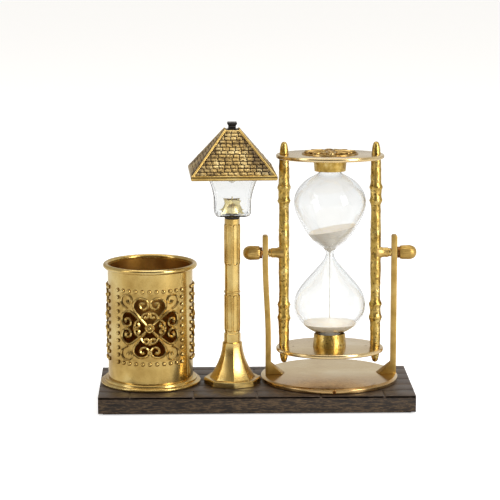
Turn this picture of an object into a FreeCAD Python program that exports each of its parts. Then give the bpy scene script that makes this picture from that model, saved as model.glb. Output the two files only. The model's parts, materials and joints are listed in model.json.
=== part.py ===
"""Desk ornament: a pierced pen cup, a street lamp and an hourglass in a turning cage, on a paved plinth.

Millimetres, +Z up, +X along the plinth to the right, +Y towards the back.
The origin is the middle of the plinth's underside. Each sub-part is written to parts/NODE.step.
"""

import FreeCAD
import Part
import math
import os

# ---------------------------------------------------------------- driving dimensions
# plinth
plinth_length = 205.0
plinth_depth = 84.0
plinth_height = 12.0
felt_thickness = 1.0
felt_inset = 3.0
paving_thickness = 2.0
paving_row = 15.2
paving_brick = 41.0
paving_groove = 0.5
screw_radius = 1.45
screw_bore = 1.5
screw_offset = 14.0

# pen cup
cup_x, cup_y = -69.1, 1.5
cup_radius = 27.9
cup_wall = 0.9
cup_foot_radius = 32.9
cup_foot_step_radius = 30.6
cup_foot_height = 4.2
cup_rim_height = 90.6
cup_rim_ring = 29.15
cup_rim_wire = 1.7
cup_floor_thickness = 1.2
cup_panels = 3

# street lamp
lamp_x, lamp_y = -15.3, -4.0
lamp_turn = 2.0
lamp_foot_radius = 18.8
lamp_foot_height = 4.2
trumpet_bottom_radius = 15.0
trumpet_top_radius = 6.6
trumpet_top = 39.6
trumpet_flare = 1.9
post_radius = 5.1
post_base_top = 45.9
post_ring_height = 73.0
post_plain_top = 91.7
post_flute_top = 118.4
post_top = 122.1
flute_width = 2.9
flute_depth = 0.45
seat_top = 124.1
neck_ring_top = 125.2
shade_wall = 0.9
shade_body_half = 10.9
shade_top = 151.2
shade_flare_start = 133.0
crown_top = 133.8
roof_half = 27.6
roof_eave_bottom = 150.7
roof_eave_top = 153.6
roof_top = 180.3
roof_top_half = 5.6
roof_wall = 1.3
hip_rib_radius = 0.9
button_radius = 4.15
button_top = 185.1
button_travel = 1.2
bore_clearance = 0.05

# hourglass stand
stand_x, stand_y = 49.2, 6.5
stand_radius = 45.4
stand_thickness = 3.5
arm_offset = 42.5
arm_thickness = 3.6
arm_depth = 6.5
arm_top = 108.9
left_arm_bow = 2.0
bow_low, bow_high = 38.0, 92.0
gusset_front = 7.6
gusset_back = 9.2

# hourglass cage, measured from the turning axis
pivot_z = 97.1
cage_lean = 2.8
cage_disc_radius = 35.5
cage_disc_inner = 62.5
cage_disc_thickness = 2.6
cage_post_offset = 30.2
cage_post_radius = 2.95
cage_node_radius = 3.65
cage_node_heights = (34.0, 43.6)
finial_height = 8.2
collar_height = 8.6
collar_base_radius = 11.0
collar_mouth_radius = 10.3
collar_wall = 0.6
medallion_radius = 18.6
medallion_height = 2.2
glass_wall = 1.0
glass_end_radius = 6.9
glass_end = 61.0
glass_neck_radius = 2.2
sand_gap = 0.1
pin_radius = 1.6
boss_radius = 3.3
boss_end = 38.6
spacer_end = 40.3
washer_start = 44.6
knob_start = 46.2
knob_end = 57.2
knob_radius = 4.75

UP = FreeCAD.Vector(0, 0, 1)
SIDE = FreeCAD.Vector(1, 0, 0)
DEPTH = FreeCAD.Vector(0, 1, 0)
ORIGIN = FreeCAD.Vector(0, 0, 0)


# ---------------------------------------------------------------- small helpers
def at(x, y, z):
    return FreeCAD.Vector(x, y, z)


def moved(shape, x, y, z):
    """A copy of the shape, shifted."""
    copy = shape.copy()
    copy.translate(at(x, y, z))
    return copy


def turned(shape, angle, axis=UP, centre=ORIGIN):
    """A copy of the shape, turned about an axis by degrees."""
    copy = shape.copy()
    copy.rotate(centre, axis, angle)
    return copy


def rod(radius, low, high, x=0.0, y=0.0):
    """An upright cylinder from one height to another."""
    return Part.makeCylinder(radius, high - low, at(x, y, low), UP)


def cross_rod(radius, start, end):
    """A cylinder along X through the frame's own origin."""
    return Part.makeCylinder(radius, end - start, at(start, 0, 0), SIDE)


def block(low, high):
    """A box from its lowest corner to its highest."""
    return Part.makeBox(high[0] - low[0], high[1] - low[1], high[2] - low[2], at(*low))


def spun(edges):
    """A solid of revolution about Z from the edges of a closed outline in the XZ plane."""
    face = Part.Face(Part.Wire(Part.__sortEdges__(edges)))
    return face.revolve(ORIGIN, UP, 360)


def spun_outline(points):
    """A solid of revolution about Z from (radius, height) corners."""
    corners = [at(r, 0, z) for r, z in points]
    return Part.Face(Part.makePolygon(corners + corners[:1])).revolve(ORIGIN, UP, 360)


def octagon(radius, height):
    """An eight-sided wire with a corner facing the front."""
    angles = [k * math.pi / 4 for k in range(8)]
    corners = [at(radius * math.sin(a), -radius * math.cos(a), height) for a in angles]
    return Part.makePolygon(corners + corners[:1])


def octagon_prism(radius, low, high):
    return Part.Face(octagon(radius, low)).extrude(at(0, 0, high - low))


def rounded_square(half, corner, height):
    """A square wire with round corners, about the Z axis."""
    flat = half - corner
    reach = corner * math.sqrt(0.5)
    edges = []
    for quarter in range(4):
        side = [at(half, -flat, height), at(half, flat, height)]
        bend = [side[1], at(flat + reach, flat + reach, height), at(flat, half, height)]
        for edge in (Part.LineSegment(*side).toShape(), Part.Arc(*bend).toShape()):
            edges.append(turned(edge, 90 * quarter))
    return Part.Wire(edges)


def square_loft(levels, corner):
    """A solid through rounded squares given as (half width, height)."""
    return Part.makeLoft([rounded_square(half, corner, z) for half, z in levels], True, True)


def write(node, shape):
    shape.exportStep("parts/" + node + ".step")


# ---------------------------------------------------------------- plinth
def make_paving():
    """A slab of paving strips: rows of bricks in running bond, drawn by shallow grooves."""
    low, high = plinth_height - paving_thickness, plinth_height
    half_x, half_y = plinth_length / 2, plinth_depth / 2
    slab = block((-half_x, -half_y, low), (half_x, half_y, high))
    cuts = []
    row_front = -half_y
    row = 0
    while row_front < half_y:
        row_back = min(row_front + paving_row, half_y)
        if row_back < half_y:
            cuts.append(block((-half_x, row_back - paving_groove / 2, high - paving_groove),
                              (half_x, row_back + paving_groove / 2, high)))
        shift = 0.0 if row % 2 == 0 else paving_brick / 2
        joint = -3 * paving_brick + shift
        while joint < half_x:
            if joint > -half_x + 1:
                cuts.append(block((joint - paving_groove / 2, row_front, high - paving_groove),
                                  (joint + paving_groove / 2, row_back, high)))
            joint += paving_brick
        row_front += paving_row
        row += 1
    return slab.cut(Part.makeCompound(cuts))


def plinth_screw_places():
    """(x, y) of the four screws that hold the cup and the hourglass stand from below."""
    places = []
    for x, y in ((cup_x, cup_y), (stand_x, stand_y)):
        places += [(x - screw_offset, y), (x + screw_offset, y)]
    return places


def make_screw(end):
    """A countersunk screw or rod, its head sunk in the board's underside."""
    head = felt_thickness + 0.2
    return spun_outline([(0, head), (2.8, head), (screw_radius, 2.6), (screw_radius, end), (0, end)])


def make_plinth():
    half_x, half_y = plinth_length / 2, plinth_depth / 2
    board = block((-half_x, -half_y, felt_thickness), (half_x, half_y, plinth_height - paving_thickness))
    sink = spun_outline([(0, felt_thickness), (3.2, felt_thickness), (screw_bore, 2.9), (0, 2.9)])
    cuts = []
    for x, y in plinth_screw_places() + [(lamp_x, lamp_y)]:
        cuts += [moved(sink, x, y, 0), rod(screw_bore, felt_thickness, plinth_height + 1, x, y)]
    felt_x, felt_y = half_x - felt_inset, half_y - felt_inset
    screws = [moved(make_screw(plinth_height + 2.4), x, y, 0) for x, y in plinth_screw_places()]
    write("plinth_board", board.cut(Part.makeCompound(cuts)))
    write("plinth_paving", make_paving().cut(Part.makeCompound(cuts)))
    write("felt_sheet", block((-felt_x, -felt_y, 0), (felt_x, felt_y, felt_thickness)))
    write("plinth_screws", Part.makeCompound(screws))


# ---------------------------------------------------------------- pen cup
def make_cup_rim(body_top):
    """A rolled ring with a rabbet that sits over the top edge of the wall."""
    ring = moved(Part.makeTorus(cup_rim_ring, cup_rim_wire), 0, 0, cup_rim_height)
    wall = rod(cup_radius, body_top - 5, body_top)
    wall = wall.cut(rod(cup_radius - cup_wall, body_top - 6, body_top + 1))
    return ring.cut(wall)


def make_cup_foot(bottom):
    """Two stacked mouldings with rounded edges."""
    step = bottom + cup_foot_height * 0.55
    top = bottom + cup_foot_height
    lower = rod(cup_foot_radius, bottom, step)
    upper = rod(cup_foot_step_radius, step, top)
    ring = lower.fuse(upper).removeSplitter()
    edges = [e for e in ring.Edges if e.Length > 100 and e.BoundBox.ZLength < 0.01 and
             (abs(e.BoundBox.ZMin - top) < 0.01 or
              (abs(e.BoundBox.ZMin - step) < 0.01 and e.BoundBox.XMax > cup_foot_radius - 0.1))]
    return ring.makeFillet(0.9, edges)


def wall_panel(bottom, top):
    """One third of the wall, in front."""
    tube = rod(cup_radius, bottom, top).cut(rod(cup_radius - cup_wall, bottom - 1, top + 1))
    reach = 3 * cup_radius
    half = math.radians(180 / cup_panels)
    wedge = Part.Face(Part.makePolygon([
        at(0, 0, bottom), at(-reach * math.sin(half), -reach * math.cos(half), bottom),
        at(reach * math.sin(half), -reach * math.cos(half), bottom), at(0, 0, bottom)]))
    return tube.common(wedge.extrude(at(0, 0, top - bottom)))


def pierced(panel, centre):
    """The front panel with its four-lobed scroll pattern of openings."""
    lobes = [(0, 0, 2.0)]
    for quarter in range(4):
        turn = quarter * math.pi / 2
        for along, aside, size in ((5.6, 0, 1.9), (9.5, 3.0, 2.1), (9.5, -3.0, 2.1), (14.0, 4.6, 1.9),
                                   (14.0, -4.6, 1.9), (17.6, 0, 1.7)):
            lobes.append((along * math.cos(turn) - aside * math.sin(turn),
                          along * math.sin(turn) + aside * math.cos(turn), size))
    drills = []
    for across, up, size in lobes:
        drill = Part.makeCylinder(size, 6, at(0, 3 - cup_radius, centre + up), at(0, -1, 0))
        drills.append(turned(drill, math.degrees(across / cup_radius)))
    return panel.cut(Part.makeCompound(drills))


def make_cup():
    bottom = plinth_height
    wall_bottom = bottom + cup_foot_height
    wall_top = cup_rim_height - 0.8
    holes = [rod(screw_bore, bottom, bottom + 3, side * screw_offset, 0) for side in (-1, 1)]
    foot = make_cup_foot(bottom).cut(Part.makeCompound(holes))
    floor = rod(cup_radius - cup_wall, wall_bottom, wall_bottom + cup_floor_thickness)
    write("cup_foot", moved(foot, cup_x, cup_y, 0))
    write("cup_floor", moved(floor, cup_x, cup_y, 0))
    write("cup_rim", moved(make_cup_rim(wall_top), cup_x, cup_y, 0))
    panel = wall_panel(wall_bottom, wall_top)
    for number in range(cup_panels):
        third = turned(panel, number * 360 / cup_panels)
        if number == 0:
            third = pierced(panel, (wall_bottom + wall_top) / 2 + 0.7)
        write("cup_panel_%d" % (number + 1), moved(third, cup_x, cup_y, 0))


# ---------------------------------------------------------------- street lamp
def on_lamp(shape):
    """Puts a shape that is drawn about the lamp's own axis in its place."""
    return moved(turned(shape, lamp_turn), lamp_x, lamp_y, 0)


tie_rod_end = 131.0
lamp_bore = rod(screw_bore, 0, tie_rod_end)


def make_lamp_foot():
    """An eight-sided slab and a trumpet that narrows to the post."""
    slab_top = plinth_height + lamp_foot_height
    levels = 7
    wires = []
    for level in range(levels):
        rise = level / (levels - 1)
        flare = (trumpet_bottom_radius - trumpet_top_radius) * (1 - rise) ** trumpet_flare
        wires.append(octagon(trumpet_top_radius + flare, slab_top + rise * (trumpet_top - slab_top)))
    foot = octagon_prism(lamp_foot_radius, plinth_height, slab_top).fuse(Part.makeLoft(wires, True, True))
    return foot.cut(lamp_bore)


def flute_cutters(low, high):
    """Eight shallow grooves with round ends, one on each face of the post."""
    radius = flute_width / 2
    face = post_radius * math.cos(math.pi / 8)
    front = -face - 2
    back = flute_depth - face
    slot = block((-radius, front, low + radius), (radius, back, high - radius))
    for height in (low + radius, high - radius):
        slot = slot.fuse(Part.makeCylinder(radius, back - front, at(0, front, height), DEPTH))
    return Part.makeCompound([turned(slot, 22.5 + 45 * k) for k in range(8)])


def make_lamp_post():
    base = octagon_prism(post_radius + 0.35, trumpet_top, post_base_top)
    shaft = octagon_prism(post_radius, post_base_top, post_top)
    ring = octagon_prism(post_radius + 0.35, post_ring_height, post_ring_height + 1.2)
    post = base.fuse([shaft, ring])
    post = post.cut(flute_cutters(post_base_top + 0.8, post_ring_height - 0.9))
    return post.cut(flute_cutters(post_plain_top, post_flute_top)).cut(lamp_bore)


def shade_half(height):
    """Half the shade's outer width: straight below, flaring out like a trumpet above."""
    rise = max(0.0, height - shade_flare_start) / 12.6
    return shade_body_half + 2.4 * rise ** 1.7


def make_shade():
    """A clear four-sided shade with a floor, open at the top."""
    bottom = neck_ring_top
    step = (shade_top - shade_flare_start) / 6
    heights = [128.0] + [shade_flare_start + k * step for k in range(7)]
    outer = [(shade_body_half - 1.6, bottom), (shade_body_half - 0.6, bottom + 0.5),
             (shade_body_half, bottom + 1.5)]
    outer += [(shade_half(z), z) for z in heights]
    inner = [(shade_body_half - 1.9, bottom + shade_wall), (shade_body_half - shade_wall, bottom + 2)]
    inner += [(shade_half(z) - shade_wall, z) for z in heights]
    inner.append((inner[-1][0], shade_top + 1))
    return square_loft(outer, 2.2).cut(square_loft(inner, 1.6)).cut(lamp_bore)


def make_crown():
    """The four-sided burner cap: a bell of four curved faces with a wick pin."""
    base = neck_ring_top + shade_wall
    levels = [(6.6, base), (5.6, base + 1.4), (4.6, base + 3.6), (4.1, base + 5.4), (4.7, crown_top)]
    bell = square_loft(levels, 0.6)
    pin = Part.makeCone(0.45, 0.2, 2.2, at(0, 0, crown_top))
    return bell.fuse(pin).cut(lamp_bore)


def square_frustum(low_half, low, high_half, high):
    ends = [rounded_square(low_half, 0.05, low), rounded_square(high_half, 0.05, high)]
    return Part.makeLoft(ends, True, True)


def make_roof():
    """A hollow four-sided roof: eave bar, tiled slopes, hip ribs and a platform with the button's bore."""
    slope = (roof_half - 0.9 - roof_top_half) / (roof_top - roof_eave_top)
    outer = square_frustum(roof_half - 0.9, roof_eave_top, roof_top_half, roof_top)
    ceiling = roof_top - 1.6
    inner_low = roof_half - 0.9 - roof_wall * 1.6
    inner_high = inner_low - slope * (ceiling - roof_eave_top)
    outer = outer.cut(square_frustum(inner_low, roof_eave_top, inner_high, ceiling))
    eave = square_loft([(roof_half - 0.5, roof_eave_bottom), (roof_half, roof_eave_bottom + 0.7),
                        (roof_half, roof_eave_top - 0.7), (roof_half - 0.9, roof_eave_top)], 0.6)
    low, high = roof_eave_bottom - 1, roof_eave_top + 1
    eave = eave.cut(block((-inner_low, -inner_low, low), (inner_low, inner_low, high)))
    start = at(roof_half - 1.1, roof_half - 1.1, roof_eave_top - 0.4)
    run = at(roof_top_half - roof_half + 0.9, roof_top_half - roof_half + 0.9, roof_top - roof_eave_top)
    rib = Part.makeCylinder(hip_rib_radius, run.Length, start, run)
    boss = rod(button_radius + 1.3, roof_top - 4, roof_top)
    roof = outer.fuse([eave, boss] + [turned(rib, 90 * k) for k in range(4)])
    roof = roof.cut(rod(button_radius + bore_clearance, roof_top - 8, roof_top + 3))
    return roof.common(block((-40, -40, roof_eave_bottom), (40, 40, roof_top)))


case_bottom = 152.6
case_top = 170.4
plunger_bottom = roof_top - 5.2


def make_light_module():
    """Battery case, three button cells, snap dome and light-emitting diode, inside the roof."""
    case = rod(7.2, case_bottom, case_top).cut(rod(6.1, case_bottom + 1.0, case_top - 1.0))
    cells = [rod(5.8, case_bottom + 1.1 + 5.25 * k, case_bottom + 6.3 + 5.25 * k) for k in range(3)]
    dome_height = plunger_bottom - case_top - 0.1
    cap = [(0, dome_height), (1.4, dome_height - 0.2), (4.2, 0), (3.8, 0), (1.3, dome_height - 0.5),
           (0, dome_height - 0.3)]
    dome = moved(spun_outline(cap), 0, 0, case_top)
    bulb = rod(2.5, case_bottom - 4.6, case_bottom).fuse(Part.makeSphere(2.5, at(0, 0, case_bottom - 4.6)))
    write("light_case", on_lamp(case))
    write("button_cells", on_lamp(Part.makeCompound(cells)))
    write("snap_dome", on_lamp(dome))
    write("light_diode", on_lamp(bulb.removeSplitter()))


def make_push_button():
    """A black plunger with a waisted square head; it slides in the roof's bore."""
    plunger = rod(button_radius, plunger_bottom + 0.9, roof_top + 0.2)
    flange = rod(button_radius + 0.9, plunger_bottom, plunger_bottom + 0.9)
    levels = [(2.85, roof_top), (2.7, roof_top + 1.3), (2.5, roof_top + 2.3), (2.9, button_top - 1.2),
              (3.3, button_top - 0.6), (3.0, button_top)]
    return plunger.fuse([flange, square_loft(levels, 0.5)])


def make_lamp():
    write("lamp_foot", on_lamp(make_lamp_foot()))
    write("lamp_post", on_lamp(make_lamp_post()))
    seat = spun_outline([(0, post_top), (post_radius - 0.2, post_top), (post_radius - 0.2, post_top + 0.7),
                         (3.9, seat_top), (0, seat_top)])
    write("lamp_tie_rod", on_lamp(make_screw(tie_rod_end)))
    write("lantern_seat", on_lamp(seat.cut(lamp_bore)))
    write("lantern_ring", on_lamp(rod(2.8, seat_top, neck_ring_top).cut(lamp_bore)))
    write("lantern_shade", on_lamp(make_shade()))
    write("burner_crown", on_lamp(make_crown()))
    ceiling_half = roof_half - 3.2
    ceiling = block((-ceiling_half, -ceiling_half, shade_top), (ceiling_half, ceiling_half, case_bottom))
    write("roof_ceiling", on_lamp(ceiling.cut(rod(2.55, shade_top - 1, case_bottom + 1))))
    write("lantern_roof", on_lamp(make_roof()))
    make_light_module()
    write("push_button", on_lamp(make_push_button()))


# ---------------------------------------------------------------- hourglass stand
def bowed_bar(inner, outer, bottom, bow):
    """An upright bar whose lower part is set inwards by the bow, with a smooth bend in between."""
    front = -arm_depth / 2
    edges = []
    for x in (inner, outer):
        ease = (bow_high - bow_low) * 0.42
        bend = Part.BezierCurve()
        bend.setPoles([at(x - bow, front, bow_low), at(x - bow, front, bow_low + ease),
                       at(x, front, bow_high - ease), at(x, front, bow_high)])
        edges.append(Part.makeLine(at(x - bow, front, bottom), at(x - bow, front, bow_low)))
        edges.append(bend.toShape())
        edges.append(Part.makeLine(at(x, front, bow_high), at(x, front, arm_top)))
    edges.append(Part.makeLine(at(inner - bow, front, bottom), at(outer - bow, front, bottom)))
    edges.append(Part.makeLine(at(inner, front, arm_top), at(outer, front, arm_top)))
    side = Part.Face(Part.Wire(Part.__sortEdges__(edges)))
    return side.extrude(at(0, arm_depth, 0))


def make_arm(bow):
    """The right arm about the stand's axis: an upright bar with a sloping foot on its inner side."""
    bottom = plinth_height + stand_thickness
    inner, outer = arm_offset - arm_thickness / 2, arm_offset + arm_thickness / 2
    if bow:
        bar = bowed_bar(inner, outer, bottom, bow)
    else:
        bar = block((inner, -arm_depth / 2, bottom), (outer, arm_depth / 2, arm_top))
    top_edges = [e for e in bar.Edges if e.BoundBox.ZMin > arm_top - 0.01 and e.BoundBox.YLength > 1]
    bar = bar.makeFillet(1.3, top_edges)
    foot = inner - bow

    def gusset_outline(size, y):
        corner = at(foot, y, bottom)
        return Part.makePolygon([corner, at(foot - size, y, bottom), at(foot, y, bottom + size), corner])

    ends = [gusset_outline(gusset_front, -arm_depth / 2), gusset_outline(gusset_back, arm_depth / 2)]
    gusset = Part.makeLoft(ends, True, True)
    bore = Part.makeCylinder(pin_radius + bore_clearance, arm_thickness + 2, at(inner - 1, 0, pivot_z), SIDE)
    screw_hole = rod(1.25, bottom - 1, bottom + 5.5, arm_offset - 1.6 - bow)
    return bar.fuse(gusset).cut(Part.makeCompound([bore, screw_hole]))


def make_stand():
    bottom = plinth_height
    top = bottom + stand_thickness
    disc = rod(stand_radius, bottom, top)
    rim_edge = [e for e in disc.Edges if e.BoundBox.ZMin > top - 0.01]
    disc = disc.makeFillet(0.7, rim_edge)
    edge_hole = Part.makeCylinder(1.25, 5, at(0.6, -stand_radius - 0.5, bottom + 1.7), DEPTH)
    cuts = [rod(screw_bore, bottom - 1, bottom + 2.4, side * screw_offset) for side in (-1, 1)]
    sink = spun_outline([(0, 0), (2.6, 0), (1.3, 1.5), (0, 1.5)])
    screw_places = [left_arm_bow + 1.6 - arm_offset, arm_offset - 1.6]
    for x in screw_places:
        cuts.append(rod(1.3, bottom - 1, top + 1, x))
        cuts.append(moved(sink, x, 0, bottom))
    disc = disc.cut(Part.makeCompound(cuts + [edge_hole]))
    screw = spun_outline([(0, 0.1), (2.4, 0.1), (1.25, 1.5), (1.25, 8.0), (0, 8.0)])
    screws = [moved(screw, x, 0, bottom) for x in screw_places]
    grub = Part.makeCylinder(1.25, 3.6, at(0.6, 0.6 - stand_radius, bottom + 1.7), DEPTH)
    socket = Part.makeCylinder(0.6, 1.6, at(0.6, 0.5 - stand_radius, bottom + 1.7), DEPTH)
    left_arm = make_arm(left_arm_bow).mirror(ORIGIN, SIDE)
    write("stand_disc", moved(disc, stand_x, stand_y, 0))
    write("arm_screws", moved(Part.makeCompound(screws), stand_x, stand_y, 0))
    write("edge_grub_screw", moved(grub.cut(socket), stand_x, stand_y, 0))
    write("stand_arm_right", moved(make_arm(0), stand_x, stand_y, 0))
    write("stand_arm_left", moved(left_arm, stand_x, stand_y, 0))


# ---------------------------------------------------------------- hourglass cage
def in_cage(shape):
    """Puts a shape drawn about the pivot in its place, with the cage leaning back a little on its pins."""
    return moved(turned(shape, -cage_lean, SIDE), stand_x, stand_y, pivot_z)


def upside_down(shape):
    return turned(shape, 180, SIDE)


def glass_outline(inset):
    """Edges of half the vessel's section: two blown bulbs and closed ends, inset from the outer surface."""
    neck = glass_neck_radius - min(inset, 1.3)
    end_radius = glass_end_radius - inset
    top, bottom = glass_end - inset, inset - glass_end
    rise = 0.7 * inset
    upper = [(neck, 0), (7.6 - inset, 4.9), (15.0 - inset, 12.5), (20.7 - inset, 22.5),
             (23.95 - inset, 33.2), (20.9 - inset, 42.7 - rise), (14.4 - rise, 49.0 - rise),
             (end_radius, 53.0)]
    lower = [(neck, 0), (6.0 - inset, -7.3), (13.1 - inset, -15.3), (19.6 - inset, -22.9),
             (23.85 - inset, -34.0), (21.35 - inset, rise - 43.3), (15.0 - rise, rise - 50.2),
             (end_radius, -53.4)]
    edges = []
    for points in (upper, lower):
        curve = Part.BSplineCurve()
        curve.interpolate([at(r, 0, z) for r, z in points])
        edges.append(curve.toShape())
    corners = [(end_radius, 53.0), (end_radius, top), (0, top), (0, bottom), (end_radius, bottom),
               (end_radius, -53.4)]
    path = [at(r, 0, z) for r, z in corners]
    for start, end in zip(path, path[1:]):
        edges.append(Part.LineSegment(start, end).toShape())
    return edges


def make_glass_and_sand():
    cavity = spun(glass_outline(glass_wall))
    vessel = spun(glass_outline(0.0)).cut(cavity)
    fill = spun(glass_outline(glass_wall + sand_gap))
    slope = turned(block((-60, -60, 0), (60, 60, 90)), -10.5, DEPTH)
    dip = turned(Part.makeCone(0, 40, 16), -10.5, DEPTH)
    upper = fill.cut(moved(slope, 0, 0, 16.4)).cut(moved(dip, -4, 0, 11.2))
    upper = upper.common(rod(30, 0.3, 40))
    heap = Part.makeCone(18.5, 0, 3.6, at(0, 0, -47.7))
    lower = fill.common(rod(30, -60.5, -47.7).fuse(heap))
    stream = rod(0.45, -44.05, 0.1)
    write("glass_vessel", in_cage(vessel))
    write("sand_upper", in_cage(upper))
    write("sand_lower", in_cage(lower))
    write("sand_stream", in_cage(stream))


def make_cage_disc():
    """The top disc: two post holes and two small drilled dimples inside."""
    inner, outer = cage_disc_inner, cage_disc_inner + cage_disc_thickness
    disc = rod(cage_disc_radius, inner, outer)
    disc = disc.makeFillet(0.6, [e for e in disc.Edges if e.Length > 100])
    cuts = []
    for side in (-1, 1):
        cuts.append(rod(1.5, inner - 1, outer + 1, side * cage_post_offset))
        cuts.append(rod(0.8, inner - 1, inner + 0.6, side * 24.0))
    return disc.cut(Part.makeCompound(cuts))


def post_radius_at(height):
    """The post swells into two rings near each end."""
    ring = sum(math.exp(-((abs(height) - node) / 1.7) ** 2) for node in cage_node_heights)
    between = cage_node_heights[0] < abs(height) < cage_node_heights[1]
    swell = (cage_node_radius - cage_post_radius) * min(1.0, ring)
    return cage_post_radius + swell + (0.25 if between else 0)


def make_post():
    """A post between the two discs, with a threaded spigot at each end."""
    heights = [-cage_disc_inner, -48.0, -45.4, -43.6, -41.6, -38.8, -36.0, -34.0, -32.2, -29.4, -12.0]
    outline = [at(post_radius_at(z), 0, z) for z in heights]
    outline += [at(post_radius_at(z), 0, -z) for z in reversed(heights)]
    curve = Part.BSplineCurve()
    curve.interpolate(outline)
    ends = [at(0, 0, cage_disc_inner), at(0, 0, -cage_disc_inner)]
    edges = [curve.toShape(), Part.LineSegment(outline[-1], ends[0]).toShape(),
             Part.LineSegment(*ends).toShape(), Part.LineSegment(ends[1], outline[0]).toShape()]
    spigot_end = cage_disc_inner + cage_disc_thickness + 4
    body = spun(edges).fuse(rod(1.45, -spigot_end, spigot_end))
    return moved(body, cage_post_offset, 0, 0)


def make_finials():
    """Four bullet-shaped cap nuts on the posts' ends."""
    face = cage_disc_inner + cage_disc_thickness
    profile = [(0, 0), (3.05, 0), (3.05, 0.9), (2.75, 1.2), (2.7, 3.4), (2.3, 5.4), (1.7, 7.2), (1.0, 8.0),
               (0, finial_height)]
    nut = moved(spun_outline(profile), 0, 0, face).cut(rod(1.5, face - 1, face + 4.2))
    upper = [moved(nut, side * cage_post_offset, 0, 0) for side in (-1, 1)]
    return Part.makeCompound(upper + [upside_down(solid) for solid in upper])


def make_collar():
    """A tapered cup that takes the end of the glass."""
    mouth = cage_disc_inner - collar_height
    profile = [(collar_mouth_radius - collar_wall, mouth), (collar_mouth_radius - 0.2, mouth),
               (collar_mouth_radius, mouth + 0.4), (collar_base_radius, cage_disc_inner),
               (collar_base_radius - collar_wall, cage_disc_inner)]
    return spun_outline(profile)


def make_cushion():
    """A cork pad in the collar, round the end of the glass and behind it."""
    low = cage_disc_inner - 5.0
    pad = rod(9.9, low, cage_disc_inner)
    return pad.cut(rod(glass_end_radius + 0.05, low - 1, glass_end + 0.05))


def make_medallion():
    """An openwork disc: a rim, a boss and eight petals of scrollwork."""
    face = cage_disc_inner + cage_disc_thickness
    plate = rod(medallion_radius, face, face + medallion_height * 0.6)
    top = face + medallion_height
    rim = rod(medallion_radius, face, top).cut(rod(medallion_radius - 1.8, face - 1, top + 1))
    boss = rod(3.4, face, top)
    windows = []
    for k in range(8):
        for distance, size in ((6.4, 1.5), (10.2, 2.2), (14.2, 1.7)):
            offset = 22.5 if distance > 14 else 0
            windows.append(turned(rod(size, face - 1, top + 1, distance), 45 * k + offset))
    return plate.cut(Part.makeCompound(windows)).fuse([rim, boss])


def make_trunnion():
    """The right trunnion: a boss brazed to the post, and the pin that turns in the arm."""
    boss = cross_rod(boss_radius, cage_post_offset, boss_end)
    pin = cross_rod(pin_radius, boss_end, knob_end - 3.0)
    saddle = rod(post_radius_at(0) + 0.02, -20, 20, cage_post_offset)
    return boss.fuse(pin).cut(saddle)


def pin_ring(radius, start, end):
    """A ring on the right pin."""
    return cross_rod(radius, start, end).cut(cross_rod(pin_radius + 0.02, start - 1, end + 1))


def make_knob():
    """A domed, ribbed knob on the right pin."""
    length = knob_end - knob_start
    profile = [(0, 0), (knob_radius - 0.5, 0), (knob_radius, 0.9), (knob_radius, 6.2),
               (knob_radius - 0.35, 8.2), (knob_radius - 1.3, 9.9), (knob_radius - 2.8, 10.8), (0, length)]
    knob = turned(spun_outline(profile), 90, DEPTH)
    groove = Part.makeCylinder(0.28, 6.4, at(0.4, 0, knob_radius + 0.1), SIDE)
    grooves = [turned(groove, 20 * k, SIDE) for k in range(18)]
    knob = moved(knob.cut(Part.makeCompound(grooves)), knob_start, 0, 0)
    return knob.cut(cross_rod(pin_radius + 0.02, knob_start - 1, knob_end - 2.9))


def make_cage():
    write("cage_disc_top", in_cage(make_cage_disc()))
    write("cage_disc_bottom", in_cage(upside_down(make_cage_disc())))
    write("collar_top", in_cage(make_collar()))
    write("collar_bottom", in_cage(upside_down(make_collar())))
    write("cork_pad_top", in_cage(make_cushion()))
    write("cork_pad_bottom", in_cage(upside_down(make_cushion())))
    write("medallion_top", in_cage(make_medallion()))
    write("medallion_bottom", in_cage(upside_down(make_medallion())))
    write("finials", in_cage(make_finials()))
    right_pieces = {
        "cage_post": make_post(),
        "trunnion": make_trunnion(),
        "pivot_spacer": pin_ring(2.8, boss_end, spacer_end),
        "pivot_washer": pin_ring(3.75, washer_start, knob_start),
        "pivot_knob": make_knob(),
    }
    for name, shape in right_pieces.items():
        write(name + "_right", in_cage(shape))
        write(name + "_left", in_cage(shape.mirror(ORIGIN, SIDE)))
    make_glass_and_sand()


os.makedirs("parts", exist_ok=True)
make_plinth()
make_cup()
make_lamp()
make_stand()
make_cage()
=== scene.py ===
import json
import math
import random

import bmesh
import bpy
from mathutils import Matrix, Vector


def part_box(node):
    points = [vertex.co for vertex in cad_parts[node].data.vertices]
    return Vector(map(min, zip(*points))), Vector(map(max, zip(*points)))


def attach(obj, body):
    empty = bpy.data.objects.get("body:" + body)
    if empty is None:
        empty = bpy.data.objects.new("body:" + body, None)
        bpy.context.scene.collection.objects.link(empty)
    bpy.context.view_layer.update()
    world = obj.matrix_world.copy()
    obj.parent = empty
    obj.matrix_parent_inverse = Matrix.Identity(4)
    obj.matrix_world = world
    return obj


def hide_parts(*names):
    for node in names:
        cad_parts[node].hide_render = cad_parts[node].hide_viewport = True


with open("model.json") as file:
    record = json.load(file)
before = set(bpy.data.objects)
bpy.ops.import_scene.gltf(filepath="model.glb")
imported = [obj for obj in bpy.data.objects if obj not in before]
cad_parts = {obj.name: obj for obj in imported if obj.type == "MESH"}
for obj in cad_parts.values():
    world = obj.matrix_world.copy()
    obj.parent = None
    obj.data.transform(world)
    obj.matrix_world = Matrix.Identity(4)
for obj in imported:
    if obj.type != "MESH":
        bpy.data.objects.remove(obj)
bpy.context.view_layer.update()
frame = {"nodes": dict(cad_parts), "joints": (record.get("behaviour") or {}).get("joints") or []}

# ---------------------------------------------------------------- places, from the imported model
MM = 0.001


def middle(node):
    low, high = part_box(node)
    return (low + high) / 2


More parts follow.
